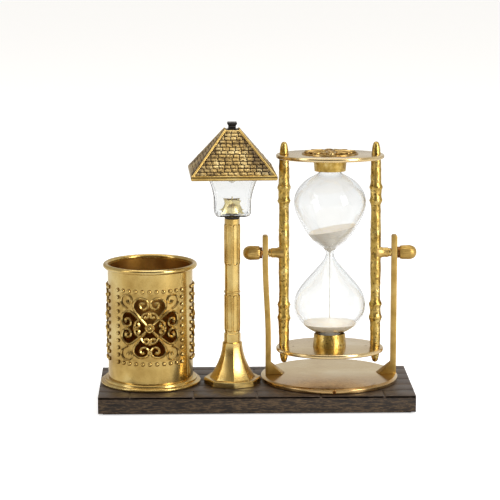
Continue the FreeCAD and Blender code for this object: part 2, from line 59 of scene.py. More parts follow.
def above_origin(node):
    """The upright axis through a node's middle, as a point on the ground."""
    centre = middle(node)
    return Vector((centre.x, centre.y, 0))


CUP_AXIS = above_origin("cup_rim")
LAMP_AXIS = above_origin("lantern_ring")
STAND_AXIS = above_origin("stand_disc")
PIVOT = Vector(frame["joints"][0]["pos_m"])
LAMP_TURN = math.radians(2.0)
CAGE_LEAN = math.radians(-2.8)


# ---------------------------------------------------------------- modelling
def let_go():
    """Back to object mode with nothing selected."""
    active = bpy.context.view_layer.objects.active
    if active and active.mode != "OBJECT":
        bpy.ops.object.mode_set(mode="OBJECT")
    bpy.ops.object.select_all(action="DESELECT")


def take(*pieces):
    """Selects these pieces, the first of them active."""
    let_go()
    for piece in pieces:
        piece.select_set(True)
    bpy.context.view_layer.objects.active = pieces[0]
    return pieces[0]


def edit(piece):
    take(piece)
    bpy.ops.object.mode_set(mode="EDIT")
    bpy.ops.mesh.select_all(action="SELECT")


def pick(piece, kind, test):
    """In edit mode, selects the vertices, edges or faces whose middle, in millimetres, passes the test."""
    bpy.ops.mesh.select_mode(type=kind)
    bpy.ops.mesh.select_all(action="DESELECT")
    mesh = bmesh.from_edit_mesh(piece.data)
    parts = {"VERT": mesh.verts, "EDGE": mesh.edges, "FACE": mesh.faces}[kind]
    for part in parts:
        corners = [part.co] if kind == "VERT" else [v.co for v in part.verts]
        where = sum(corners, Vector()) / len(corners) / MM
        part.select_set(bool(test(where, part)))
    bmesh.update_edit_mesh(piece.data)


def settle():
    """Keeps the place, turn and size of what is selected in its mesh."""
    bpy.ops.object.transform_apply(location=True, rotation=True, scale=True)


def put(name, data):
    """A new object in the scene."""
    made = bpy.data.objects.new(name, data)
    bpy.context.scene.collection.objects.link(made)
    return made


def slice_at(places, normal):
    """In edit mode, cuts the whole mesh with planes at these places, in millimetres along the normal."""
    for along in places:
        bpy.ops.mesh.select_all(action="SELECT")
        bpy.ops.mesh.bisect(plane_co=[n * along * MM for n in normal], plane_no=normal)


def paint(piece, number, test):
    """In edit mode, gives the faces that pass the test the finish of that number."""
    pick(piece, "FACE", test)
    piece.active_material_index = number
    bpy.ops.object.material_slot_assign()


def close_up(piece):
    """Merges doubles, turns the faces outwards and goes back to object mode."""
    bpy.ops.mesh.select_all(action="SELECT")
    bpy.ops.mesh.remove_doubles(threshold=0.002 * MM)
    bpy.ops.mesh.select_all(action="SELECT")
    bpy.ops.mesh.normals_make_consistent(inside=False)
    bpy.ops.object.mode_set(mode="OBJECT")
    return piece


def lathe(name, outline, steps=64, soft=0.0):
    """Spins an outline of (radius, height) in millimetres about Z. Few steps give a form with flat sides.
    soft rounds the outline's corners by that radius."""
    let_go()
    bpy.ops.mesh.primitive_plane_add(size=MM)
    piece = bpy.context.object
    piece.name = name
    bpy.ops.object.mode_set(mode="EDIT")
    bpy.ops.mesh.select_mode(type="VERT")
    bpy.ops.mesh.select_all(action="SELECT")
    bpy.ops.mesh.merge(type="CENTER")
    bpy.ops.transform.translate(value=(outline[0][0] * MM, 0, outline[0][1] * MM))
    for (r0, z0), (r1, z1) in zip(outline, outline[1:]):
        step = ((r1 - r0) * MM, 0, (z1 - z0) * MM)
        bpy.ops.mesh.extrude_vertices_move(TRANSFORM_OT_translate={"value": step})
    if soft:
        bpy.ops.mesh.select_all(action="SELECT")
        bpy.ops.mesh.remove_doubles(threshold=0.002 * MM)
        pick(piece, "VERT", lambda p, v: len(v.link_edges) == 2)
        bpy.ops.mesh.bevel(offset=soft * MM, segments=3, affect="VERTICES")
    bpy.ops.mesh.select_all(action="SELECT")
    bpy.ops.mesh.spin(steps=steps, angle=2 * math.pi, center=(0, 0, 0), axis=(0, 0, 1))
    return close_up(piece)


def slab(name, low, high, soft=0.3, segments=2):
    """A block between two corners in millimetres, with rounded edges."""
    let_go()
    centre = [(a + b) / 2 * MM for a, b in zip(low, high)]
    bpy.ops.mesh.primitive_cube_add(size=1, location=centre, scale=[(b - a) * MM for a, b in zip(low, high)])
    piece = bpy.context.object
    piece.name = name
    settle()
    if soft:
        edit(piece)
        bpy.ops.mesh.bevel(offset=soft * MM, segments=segments)
        bpy.ops.object.mode_set(mode="OBJECT")
    return piece


def bar_between(name, start, end, radius, sides=10):
    """A round bar between two points in millimetres."""
    let_go()
    start, end = Vector(start) * MM, Vector(end) * MM
    run = end - start
    bpy.ops.mesh.primitive_cylinder_add(vertices=sides, radius=radius * MM, depth=run.length,
                                        location=(start + end) / 2, rotation=run.to_track_quat("Z", "Y").to_euler())
    piece = bpy.context.object
    piece.name = name
    settle()
    return piece


def strip(name, points, half_width, height=0.6, closed=False, taper=False):
    """A raised cord of metal along smooth points (across, up) in millimetres, lying in the XZ plane."""
    curve = bpy.data.curves.new(name, "CURVE")
    curve.dimensions = "3D"
    curve.resolution_u = 4
    curve.bevel_depth = half_width * MM
    curve.bevel_resolution = 1
    curve.use_fill_caps = True
    spline = curve.splines.new("NURBS")
    spline.points.add(len(points) - 1)
    for number, (point, (across, up)) in enumerate(zip(spline.points, points)):
        point.co = (across * MM, 0, up * MM, 1)
        point.radius = 1.0 if not taper or number < len(points) - 2 else 1.35
    spline.order_u = 3
    spline.use_endpoint_u = not closed
    spline.use_cyclic_u = closed
    take(put(name, curve))
    bpy.ops.object.convert(target="MESH")
    piece = bpy.context.object
    piece.scale.y = height / half_width
    settle()
    return piece


def modify(piece, kind, **settings):
    """Adds a modifier and applies it."""
    take(piece)
    modifier = piece.modifiers.new(kind.title(), kind)
    for name, value in settings.items():
        setattr(modifier, name, value)
    bpy.ops.object.modifier_apply(modifier=modifier.name)
    return piece


def cut(piece, cutter):
    """Takes the cutter's solid out of the piece."""
    modify(piece, "BOOLEAN", operation="DIFFERENCE", object=cutter, solver="EXACT")
    bpy.data.objects.remove(cutter)
    return piece


def soften(piece, width, test, segments=3):
    """Rounds the edges that pass the test."""
    edit(piece)
    pick(piece, "EDGE", test)
    bpy.ops.mesh.bevel(offset=width * MM, segments=segments)
    bpy.ops.object.mode_set(mode="OBJECT")
    return piece


def join(name, pieces):
    take(*pieces)
    if len(pieces) > 1:
        bpy.ops.object.join()
    pieces[0].name = name
    return pieces[0]


def copy_of(piece, name):
    take(piece)
    bpy.ops.object.duplicate()
    made = bpy.context.object
    made.name = name
    return made


def place(piece, turn=(0, 0, 0), at=(0, 0, 0)):
    """Turns a piece about the origin and moves it, both kept in its mesh."""
    take(piece)
    piece.rotation_euler = turn
    piece.location = at
    settle()
    return piece


def mirrored(piece, name, axis=0):
    made = copy_of(piece, name)
    made.scale[axis] = -1
    settle()
    edit(made)
    bpy.ops.mesh.flip_normals()
    bpy.ops.object.mode_set(mode="OBJECT")
    return made


def upside_down(piece, name):
    return place(copy_of(piece, name), turn=(math.pi, 0, 0))


def finish(piece, body, slot, material, *nodes, smooth=35):
    """Smooths a piece, gives it its finish and says what it rides on and stands for."""
    take(piece)
    bpy.ops.object.shade_smooth_by_angle(angle=math.radians(smooth))
    if material:
        piece.data.materials.clear()
        piece.data.materials.append(material)
    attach(piece, body)
    if nodes:
        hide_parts(*nodes)
    return piece


def in_lamp(piece):
    return place(piece, (0, 0, LAMP_TURN), LAMP_AXIS)


def in_cage(piece):
    return place(piece, (CAGE_LEAN, 0, 0), PIVOT)


# ---------------------------------------------------------------- materials
def colour(text):
    """A linear colour from an sRGB hex value."""
    parts = [int(text[i:i + 2], 16) / 255 for i in (1, 3, 5)]
    return [c / 12.92 if c <= 0.04045 else ((c + 0.055) / 1.055) ** 2.4 for c in parts] + [1.0]


def node(tree, kind, inputs=(), **settings):
    """Adds a node: its settings by name, then its inputs, each a value or another node's output."""
    made = tree.nodes.new(kind)
    for name, value in settings.items():
        setattr(made, name, value)
    for name, value in dict(inputs).items():
        if isinstance(value, bpy.types.NodeSocket):
            tree.links.new(value, made.inputs[name])
        else:
            made.inputs[name].default_value = value
    return made


def stops(ramp, *pairs):
    """Sets a colour ramp's stops from (position, hex) pairs."""
    elements = ramp.color_ramp.elements
    while len(elements) < len(pairs):
        elements.new(0.5)
    for element, (position, text) in zip(elements, pairs):
        element.position = position
        element.color = colour(text)
    return ramp


def either_ray(tree, first, second):
    """One for light rays of either kind, else nothing."""
    ray = node(tree, "ShaderNodeLightPath")
    return node(tree, "ShaderNodeMath", {0: ray.outputs[f"Is {first} Ray"], 1: ray.outputs[f"Is {second} Ray"]},
                operation="MAXIMUM").outputs[0]


def recolour(tree, share, text):
    """Lays a colour over a plate's own, by a share."""
    base = tree.nodes["Principled BSDF"].inputs["Base Color"]
    over = node(tree, "ShaderNodeMix", {"Factor": share, 6: base.links[0].from_socket, 7: colour(text)},
                data_type="RGBA")
    tree.links.new(over.outputs[2], base)


def new_material(name, **sockets):
    """A named material with one principled shader and its constant settings."""
    material = bpy.data.materials.new(name)
    material.use_nodes = True
    shader = material.node_tree.nodes["Principled BSDF"]
    for socket, value in sockets.items():
        shader.inputs[socket.replace("_", " ")].default_value = value
    return material, material.node_tree, shader


def gold_plate(name, tones, rough, patch_mm, dent_mm, dent_depth, grain=0.0, patina=None):
    """Plated zinc casting. tones run from worn dark to bright; patches differ in tone and gloss, as antique
    plating does; dents are the casting's uneven skin; patina is a dark wash that stays in the low places."""
    material, tree, shader = new_material(name, Metallic=1.0)
    where = node(tree, "ShaderNodeTexCoord").outputs["Object"]
    patches = node(tree, "ShaderNodeTexNoise", {"Vector": where, "Scale": 1 / (patch_mm * MM), "Detail": 4.0,
                                                "Roughness": 0.6})
    ramp = stops(node(tree, "ShaderNodeValToRGB", {"Fac": patches.outputs["Fac"]}), *tones)
    base = ramp.outputs["Color"]
    dents = node(tree, "ShaderNodeTexNoise", {"Vector": where, "Scale": 1 / (dent_mm * MM), "Detail": 3.0,
                                              "Roughness": 0.55})
    if patina:
        share, dark = patina
        low = node(tree, "ShaderNodeMapRange", {"Value": dents.outputs["Fac"], "From Min": share,
                                                "From Max": share - 0.12})
        base = node(tree, "ShaderNodeMix", {"Factor": low.outputs["Result"], 6: base, 7: colour(dark)},
                    data_type="RGBA").outputs[2]
    tree.links.new(base, shader.inputs["Base Color"])
    gloss = node(tree, "ShaderNodeMapRange", {"Value": patches.outputs["Fac"], "From Min": 0.3, "From Max": 0.7,
                                              "To Min": rough * 1.25, "To Max": rough * 0.8})
    tree.links.new(gloss.outputs["Result"], shader.inputs["Roughness"])
    bump = node(tree, "ShaderNodeBump", {"Height": dents.outputs["Fac"], "Strength": 1.0,
                                         "Distance": dent_depth * MM})
    if grain:
        fine = node(tree, "ShaderNodeTexNoise", {"Vector": where, "Scale": 1 / (0.5 * MM), "Detail": 2.0})
        bump = node(tree, "ShaderNodeBump", {"Height": fine.outputs["Fac"], "Strength": 1.0,
                                             "Distance": grain * MM, "Normal": bump.outputs["Normal"]})
    tree.links.new(bump.outputs["Normal"], shader.inputs["Normal"])
    return material


# Polished antique gold plate: a smooth drawn sheet, so only broad waves and a faint bloom show.
cup_gold = gold_plate("polished_gold_plate", [(0.3, "#B09050"), (0.5, "#CAAC68"), (0.7, "#DEC88A")],
                      0.22, 22, 9, 0.05)
# The ground between the raised scrolls keeps a brown wash.
wash_gold = gold_plate("brown_washed_plate", [(0.3, "#A5854A"), (0.5, "#BA9A58"), (0.7, "#CDB06E")],
                       0.3, 6, 2, 0.06, 0.01)
# Painted shade: a dark brown finish in the corners where scrolls and beads meet the sheet, where shade falls.
painted_crease_shade = gold_plate("painted_shade_in_corners", [(0.3, "#5A3F18"), (0.5, "#785828"), (0.7, "#946F38")],
                         0.4, 4, 1.5, 0.05, 0.01)
# Inside the cup the plate is left unpolished and browner.
inner_gold = gold_plate("unpolished_brown_plate", [(0.3, "#A0732F"), (0.5, "#BA8A42"), (0.7, "#CC9E54")],
                        0.36, 16, 6, 0.05, 0.01)
# The same plate on the cast foot and post of the lamp, a little more uneven.
lamp_gold = gold_plate("cast_gold_plate", [(0.3, "#B39250"), (0.5, "#CCAC66"), (0.7, "#DEC684")],
                       0.24, 14, 6, 0.03, 0.004)
# Blasted before plating: even, matte, with fine grit.
arm_gold = gold_plate("blasted_gold_plate", [(0.3, "#B2914E"), (0.5, "#C4A25C"), (0.7, "#D0B06C")],
                      0.42, 9, 1.2, 0.02, 0.012)
# Pale satin plate on the turned discs: reflections stay readable but soft.
SATIN = ([(0.3, "#D4B680"), (0.5, "#E2C894"), (0.7, "#EDD8AC")], 0.19, 30, 12, 0.04, 0.004)
disc_gold = gold_plate("satin_pale_gold_plate", *SATIN)
# The stand's own disc: the same plate, with a painted reflection over its front half, browner towards the front as the
# cage above shows in it.
stand_gold = gold_plate("satin_gold_plate_painted_reflection_in_front", *SATIN)
stand_tree = stand_gold.node_tree
depth = node(stand_tree, "ShaderNodeSeparateXYZ", {0: node(stand_tree, "ShaderNodeTexCoord").outputs["Object"]})
# painted reflection: the plate turns browner towards the front edge
painted_reflection_share = node(stand_tree, "ShaderNodeMapRange", {"Value": depth.outputs["Y"], "From Min": STAND_AXIS[1] + 4 * MM,
                                                  "From Max": STAND_AXIS[1] - 22 * MM, "To Max": 0.7})
recolour(stand_tree, painted_reflection_share.outputs["Result"], "#A67C40")
# Hammered antique gold: dents about a millimetre and a half wide, brown wash left in them.
post_gold = gold_plate("hammered_antique_gold", [(0.3, "#A8883F"), (0.5, "#C6A658"), (0.7, "#DEC680")],
                       0.3, 5, 1.5, 0.2, 0.03, (0.44, "#63471E"))
# The collars round the corks: brushed, with shallow hammer marks.
collar_gold = gold_plate("brushed_hammered_gold", [(0.3, "#A0803E"), (0.5, "#C2A154"), (0.7, "#DEC580")],
                         0.34, 4, 2.4, 0.16, 0.02, (0.36, "#7A5A26"))
# The burner's leaves and dome: pale satin plate.
crown_gold = gold_plate("pale_satin_plate", [(0.3, "#C4B274"), (0.5, "#D2C28A"), (0.7, "#DED2A0")],
                        0.48, 8, 2, 0.03, 0.006)
# Roof tiles: worn gold on the crowns of the bricks, dark wash round them, heavier towards the hips.
tile_gold = gold_plate("worn_gold_tiles", [(0.34, "#86704A"), (0.5, "#BE9F62"), (0.66, "#E2CA90")],
                       0.34, 9, 1.0, 0.3, 0.03, (0.46, "#3A2C24"))
hip_tree = tile_gold.node_tree
from_axis = node(hip_tree, "ShaderNodeVectorMath", {0: node(hip_tree, "ShaderNodeTexCoord").outputs["Object"],
                                                    1: LAMP_AXIS}, operation="SUBTRACT")
sides = node(hip_tree, "ShaderNodeSeparateXYZ", {
    0: node(hip_tree, "ShaderNodeVectorMath", {0: from_axis.outputs[0]}, operation="ABSOLUTE").outputs[0]})
least = node(hip_tree, "ShaderNodeMath", {0: sides.outputs["X"], 1: sides.outputs["Y"]}, operation="MINIMUM")
most = node(hip_tree, "ShaderNodeMath", {0: sides.outputs["X"], 1: sides.outputs["Y"]}, operation="MAXIMUM")
towards_hip = node(hip_tree, "ShaderNodeMath", {0: least.outputs[0], 1: most.outputs[0]}, operation="DIVIDE")
cloud = node(hip_tree, "ShaderNodeTexNoise", {"Vector": from_axis.outputs[0], "Scale": 1 / (5 * MM), "Detail": 4.0})
uneven = node(hip_tree, "ShaderNodeMath", {0: cloud.outputs["Fac"], 1: 0.9, 2: towards_hip.outputs[0]},
              operation="MULTIPLY_ADD")
tarnish = node(hip_tree, "ShaderNodeMapRange", {"Value": uneven.outputs[0], "From Min": 0.85, "From Max": 1.4,
                                                "To Max": 0.7})
recolour(hip_tree, tarnish.outputs["Result"], "#463A36")
# Old gold leaves of the medallions, between bright and brown.
leaf_gold = gold_plate("old_gold_scrollwork", [(0.3, "#7A5E30"), (0.5, "#B59256"), (0.7, "#DCC288")],
                       0.3, 6, 2.5, 0.2, 0.015, (0.36, "#5A4018"))
# Coppery rings and screws: polished, slightly browned.
ring_copper = gold_plate("browned_copper", [(0.3, "#5E3C1C"), (0.5, "#83572B"), (0.7, "#A8743C")],
                         0.3, 3, 1.0, 0.03)


def roof_mortar():
    """The sunk ground between the tiles: black-brown lacquer wiped off the high spots."""
    material, tree, shader = new_material("wiped_brown_lacquer", Metallic=0.55, Roughness=0.5)
    where = node(tree, "ShaderNodeTexCoord").outputs["Object"]
    grit = node(tree, "ShaderNodeTexNoise", {"Vector": where, "Scale": 1 / (0.8 * MM), "Detail": 4.0})
    ramp = stops(node(tree, "ShaderNodeValToRGB", {"Fac": grit.outputs["Fac"]}),
                 (0.35, "#241811"), (0.6, "#4E3A26"), (0.75, "#8F7440"))
    tree.links.new(ramp.outputs["Color"], shader.inputs["Base Color"])
    bump = node(tree, "ShaderNodeBump", {"Height": grit.outputs["Fac"], "Distance": 0.15 * MM})
    tree.links.new(bump.outputs["Normal"], shader.inputs["Normal"])
    return material


def stained_wood(name, tones, gloss):
    """Stained, lacquered pine: fine grain lines along X, arched where the cut crosses the rings."""
    material, tree, shader = new_material(name, Coat_Weight=0.05, Coat_Roughness=0.3)
    shader.inputs["IOR"].default_value = 1.42
    where = node(tree, "ShaderNodeTexCoord").outputs["Object"]
    # stretched seven to one along the board, as grain is
    along = node(tree, "ShaderNodeMapping", {"Vector": where, "Scale": (0.15, 1.0, 1.0)})
    warp = node(tree, "ShaderNodeTexNoise", {"Vector": along.outputs["Vector"], "Scale": 1 / (9 * MM), "Detail": 3.0})
    rings = node(tree, "ShaderNodeTexWave", {"Vector": along.outputs["Vector"], "Scale": 1 / (3.2 * MM),
                                             "Distortion": 9.0, "Detail": 3.0, "Detail Scale": 1.6,
                                             "Phase Offset": 1.0}, wave_type="BANDS", bands_direction="Y")
    fibres = node(tree, "ShaderNodeTexNoise", {"Vector": along.outputs["Vector"], "Scale": 1 / (0.45 * MM),
                                               "Detail": 4.0, "Roughness": 0.7})
    grain = node(tree, "ShaderNodeMix", {"Factor": 0.86, 2: rings.outputs["Fac"], 3: fibres.outputs["Fac"]},
                 data_type="FLOAT").outputs[0]
    blend = node(tree, "ShaderNodeMix", {"Factor": 0.16, 2: grain, 3: warp.outputs["Fac"]},
                 data_type="FLOAT").outputs[0]
    ramp = stops(node(tree, "ShaderNodeValToRGB", {"Fac": blend}), *tones)
    tree.links.new(ramp.outputs["Color"], shader.inputs["Base Color"])
    rough = node(tree, "ShaderNodeMapRange", {"Value": fibres.outputs["Fac"], "To Min": gloss, "To Max": gloss + 0.25})
    tree.links.new(rough.outputs["Result"], shader.inputs["Roughness"])
    bump = node(tree, "ShaderNodeBump", {"Height": grain, "Distance": 0.12 * MM, "Strength": 0.8})
    tree.links.new(bump.outputs["Normal"], shader.inputs["Normal"])
    return material


board_wood = stained_wood("dark_stained_pine", [(0.36, "#17110C"), (0.5, "#2E241B"), (0.64, "#655038")], 0.5)
brick_wood = stained_wood("brown_stained_pine", [(0.34, "#241A13"), (0.5, "#3E3025"), (0.66, "#685440")], 0.32)


WALL_GREY = 205.0


def clear_glass(name, tint, rough):
    """Blown or moulded clear wall: near-white body, reflections and refraction do the rest."""
    material, tree, shader = new_material(name, Transmission_Weight=1.0, Roughness=rough)
    shader.inputs["Base Color"].default_value = colour(tint)
    shader.inputs["IOR"].default_value = 1.45
    where = node(tree, "ShaderNodeTexCoord").outputs["Object"]
    wave = node(tree, "ShaderNodeTexNoise", {"Vector": where, "Scale": 1 / (18 * MM), "Detail": 1.0})
    bump = node(tree, "ShaderNodeBump", {"Height": wave.outputs["Fac"], "Distance": 0.04 * MM, "Strength": 0.15})
    tree.links.new(bump.outputs["Normal"], shader.inputs["Normal"])
    # light on its way to the sand passes straight through the thin wall
    passing = either_ray(tree, "Shadow", "Diffuse")
    through = node(tree, "ShaderNodeBsdfTransparent")
    mix = node(tree, "ShaderNodeMixShader", {0: passing, 1: shader.outputs["BSDF"],
                                             2: through.outputs["BSDF"]})
    tree.links.new(mix.outputs[0], tree.nodes["Material Output"].inputs["Surface"])
    # a faint grey in the wall itself, which shows where the wall is seen edge on
    grey = node(tree, "ShaderNodeVolumeAbsorption", {"Color": (0.45, 0.46, 0.47, 1), "Density": WALL_GREY})
    tree.links.new(grey.outputs[0], tree.nodes["Material Output"].inputs["Volume"])
    return material


bulb_glass = clear_glass("borosilicate_glass", "#FCFDFD", 0.0)
shade_glass = clear_glass("clear_acrylic", "#FAFBFB", 0.02)


def fine_sand(name, tones, glow):
    """Screened white sand: grains of a fifth of a millimetre, drawn at half a millimetre so that they show.
    glow is painted light: the sand gives off some light of its own colour, standing for light scattered between the
    grains."""
    material, tree, shader = new_material(name, Roughness=0.95, Emission_Strength=glow)
    where = node(tree, "ShaderNodeTexCoord").outputs["Object"]
    grains = node(tree, "ShaderNodeTexNoise", {"Vector": where, "Scale": 1 / (0.5 * MM), "Detail": 3.0})
    drift = node(tree, "ShaderNodeTexNoise", {"Vector": where, "Scale": 1 / (9 * MM), "Detail": 2.0})
    both = node(tree, "ShaderNodeMix", {"Factor": 0.5, 2: grains.outputs["Fac"], 3: drift.outputs["Fac"]},
                data_type="FLOAT").outputs[0]
    ramp = stops(node(tree, "ShaderNodeValToRGB", {"Fac": both}), *tones)
    tree.links.new(ramp.outputs["Color"], shader.inputs["Base Color"])
    tree.links.new(ramp.outputs["Color"], shader.inputs["Emission Color"])
    bump = node(tree, "ShaderNodeBump", {"Height": grains.outputs["Fac"], "Distance": 0.12 * MM})
    tree.links.new(bump.outputs["Normal"], shader.inputs["Normal"])
    return material


# White sand with a warm cast, painted lit and shaded: the level top gets the lit, glowing finish, the side against the
# glass a darker one painted in shade.
painted_lit_sand = fine_sand("screened_sand_painted_lit", [(0.3, "#DED6C8"), (0.55, "#E8E2D6"), (0.75, "#F0ECE2")], 0.64)
painted_shaded_sand = fine_sand("screened_sand_painted_shaded", [(0.3, "#C6BFB2"), (0.55, "#D4CEC2"), (0.75, "#DED9CE")], 0.14)


def plain_finish(name, dark, light, spot_mm, rough, bump_mm, metallic=0.0):
    """A moulded or plated small part: two close tones and a slight texture of its own."""
    material, tree, shader = new_material(name, Metallic=metallic)
    if not metallic:
        shader.inputs["IOR"].default_value = 1.5
    where = node(tree, "ShaderNodeTexCoord").outputs["Object"]
    spots = node(tree, "ShaderNodeTexNoise", {"Vector": where, "Scale": 1 / (spot_mm * MM), "Detail": 3.0})
    ramp = stops(node(tree, "ShaderNodeValToRGB", {"Fac": spots.outputs["Fac"]}), (0.35, dark), (0.65, light))
    tree.links.new(ramp.outputs["Color"], shader.inputs["Base Color"])
    rough_map = node(tree, "ShaderNodeMapRange", {"Value": spots.outputs["Fac"], "To Min": rough * 0.8,
                                                  "To Max": rough * 1.2})
    tree.links.new(rough_map.outputs["Result"], shader.inputs["Roughness"])
    bump = node(tree, "ShaderNodeBump", {"Height": spots.outputs["Fac"], "Distance": bump_mm * MM})
    tree.links.new(bump.outputs["Normal"], shader.inputs["Normal"])
    return material


# Moulded ABS, polished: deep black-brown with sharp highlights.
knob_black = plain_finish("polished_black_abs", "#0E0A07", "#1E1812", 2.0, 0.16, 0.02)
# Rubber washer under the shade.
seat_rubber = plain_finish("black_rubber", "#15120F", "#2A2521", 1.0, 0.55, 0.03)
# Short-pile felt under the plinth: fibres of two tenths of a millimetre drawn as coarse mottling.
felt_fibre = plain_finish("black_felt", "#141414", "#2B2B2B", 0.6, 0.95, 0.25)
# Zinc-plated steel screws.
screw_steel = plain_finish("zinc_plated_steel", "#8F8F90", "#B9B9BA", 1.5, 0.3, 0.02, 1.0)
# Agglomerated cork: crumbs of one to two millimetres.
cork_crumbs = plain_finish("agglomerated_cork", "#8A6239", "#C79C68", 1.2, 0.85, 0.2)
# Water-clear epoxy lens of the diode.
lens_epoxy = plain_finish("clear_epoxy", "#E4E2D6", "#F4F2E8", 3.0, 0.1, 0.01)

# ---------------------------------------------------------------- plinth
PAVING_ROW, PAVING_BRICK, GROOVE = 15.2, 41.0, 0.7
paving_low, paving_high = (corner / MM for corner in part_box("plinth_paving"))
board_low, board_high = (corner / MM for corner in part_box("plinth_board"))
random.seed(7)

board = slab("plinth_block", board_low, board_high, 0.35)
finish(board, "base", "plinth_wood", board_wood, "plinth_board")

bed = slab("paving_bed", paving_low, paving_high - Vector((0, 0, 0.45)), 0.0)
bricks = [bed]
row, front = 0, paving_low.y
while front < paving_high.y - 0.5:
    back = min(front + PAVING_ROW, paving_high.y)
    joints = [k * PAVING_BRICK + (row % 2) * PAVING_BRICK / 2 for k in range(-3, 4)]
    ends = [paving_low.x] + [x for x in joints if paving_low.x + 1 < x < paving_high.x - 1] + [paving_high.x]
    for left, right in zip(ends, ends[1:]):
        sides = [GROOVE / 2 if x not in (paving_low.x, paving_high.x) else 0 for x in (left, right)]
        lip = [GROOVE / 2 if y not in (paving_low.y, paving_high.y) else 0 for y in (front, back)]
        sink = random.uniform(0.0, 0.06)
        bricks.append(slab("brick", (left + sides[0], front + lip[0], paving_low.z + 0.2),
                           (right - sides[1], back - lip[1], paving_high.z - sink), 0.32, 2))
    row, front = row + 1, back
paving = join("plinth_bricks", bricks)
finish(paving, "base", "paving_wood", brick_wood, "plinth_paving")

# ---------------------------------------------------------------- pen cup
CUP_R, CUP_WALL, PATTERN_UP = 27.9, 0.9, 0.7
WASH_WIDE, WASH_HIGH = 21.3, 22.3
foot_low, foot_high = (corner.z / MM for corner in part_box("cup_foot"))
wall_low, wall_high = (corner.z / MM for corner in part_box("cup_panel_1"))
rim_z = middle("cup_rim").z / MM

cup_foot = lathe("cup_foot_rings", [(0, foot_low), (32.3, foot_low), (32.9, foot_low + 0.5), (32.9, foot_low + 1.6),
                                    (32.2, foot_low + 2.3), (30.9, foot_low + 2.35), (30.6, foot_low + 2.7),
                                    (30.5, foot_high - 0.5), (29.9, foot_high), (0, foot_high)], 128, 0.25)
finish(place(cup_foot, at=CUP_AXIS), "base", "gold_bright", cup_gold, "cup_foot")

ring = [(29.15 + 1.7 * math.cos(a), rim_z + 1.7 * math.sin(a)) for a in
        [k * math.pi / 8 for k in range(17)]]
cup_rim = lathe("cup_rolled_rim", ring, 128)
finish(place(cup_rim, at=CUP_AXIS), "base", "gold_bright", cup_gold, "cup_rim", smooth=80)


def four_ways(points):
    """The same points turned by quarter turns about the pattern's middle, which is a little taller than wide."""
    turns = []
    for quarter in range(4):
        c, s = round(math.cos(quarter * math.pi / 2)), round(math.sin(quarter * math.pi / 2))
        turns.append([(x * c - y * s, (x * s + y * c) * 1.03) for x, y in points])
    return turns


def both_hands(points):
    return [points, [(-x, y) for x, y in points]]


def opening(points):
    """A flat plug through the sheet, to cut an opening with."""
    let_go()
    bpy.ops.mesh.primitive_circle_add(vertices=len(points), radius=MM, fill_type="NOTHING")
    piece = bpy.context.object
    for vertex, (across, up) in zip(piece.data.vertices, points):
        vertex.co = (across * MM, -2 * MM, up * MM)
    edit(piece)
    bpy.ops.mesh.edge_face_add()
    bpy.ops.mesh.extrude_region_move(TRANSFORM_OT_translate={"value": (0, 4 * MM, 0)})
    return close_up(piece)


# One lobe of the four hearts, from the knot where the diagonals cross out to its curled end.
LOBE = [(-5.6, 6.2), (-7.8, 9.0), (-10.4, 12.2), (-10.8, 15.6), (-8.4, 18.6), (-4.6, 19.2), (-1.0, 17.6), (-0.6, 14.4),
        (-2.6, 12.0), (-5.4, 12.6), (-6.2, 15.0), (-4.8, 16.5), (-3.3, 15.4)]
# The small arch of an inner petal with its curl.
PETAL = [(-5.6, 6.2), (-4.4, 8.6), (-2.0, 9.9), (-0.5, 9.3), (-0.7, 7.2), (-2.3, 6.5), (-3.3, 7.5)]
DIAGONAL = [(-5.6, 6.2), (-3.9, 4.4), (-2.1, 2.3)]
CORNER = [(-14.9, 12.6), (-17.9, 13.6), (-19.9, 16.6), (-19.1, 20.2), (-15.9, 21.9), (-12.2, 20.8), (-11.2, 17.6),
          (-12.7, 15.8), (-14.7, 16.6), (-14.9, 18.2)]
HEART_HOLE = [(-5.3, 6.6), (-7.6, 9.2), (-10.0, 12.4), (-10.3, 15.4), (-8.2, 18.2), (-4.6, 18.8), (-1.4, 17.2),
              (0, 14.4), (1.4, 17.2), (4.6, 18.8), (8.2, 18.2), (10.3, 15.4), (10.0, 12.4), (7.6, 9.2), (5.3, 6.6),
              (4.2, 8.8), (1.9, 10.3), (0, 10.9), (-1.9, 10.3), (-4.2, 8.8)]
PETAL_HOLE = [(-5.1, 6.3), (-4.2, 7.9), (-2.0, 9.3), (0, 9.6), (2.0, 9.3), (4.2, 7.9), (5.1, 6.3), (3.4, 4.4),
              (1.7, 2.6), (0, 3.1), (-1.7, 2.6), (-3.4, 4.4)]
RING = [(2.7 * math.cos(k * math.pi / 4), 2.7 * math.sin(k * math.pi / 4)) for k in range(8)]


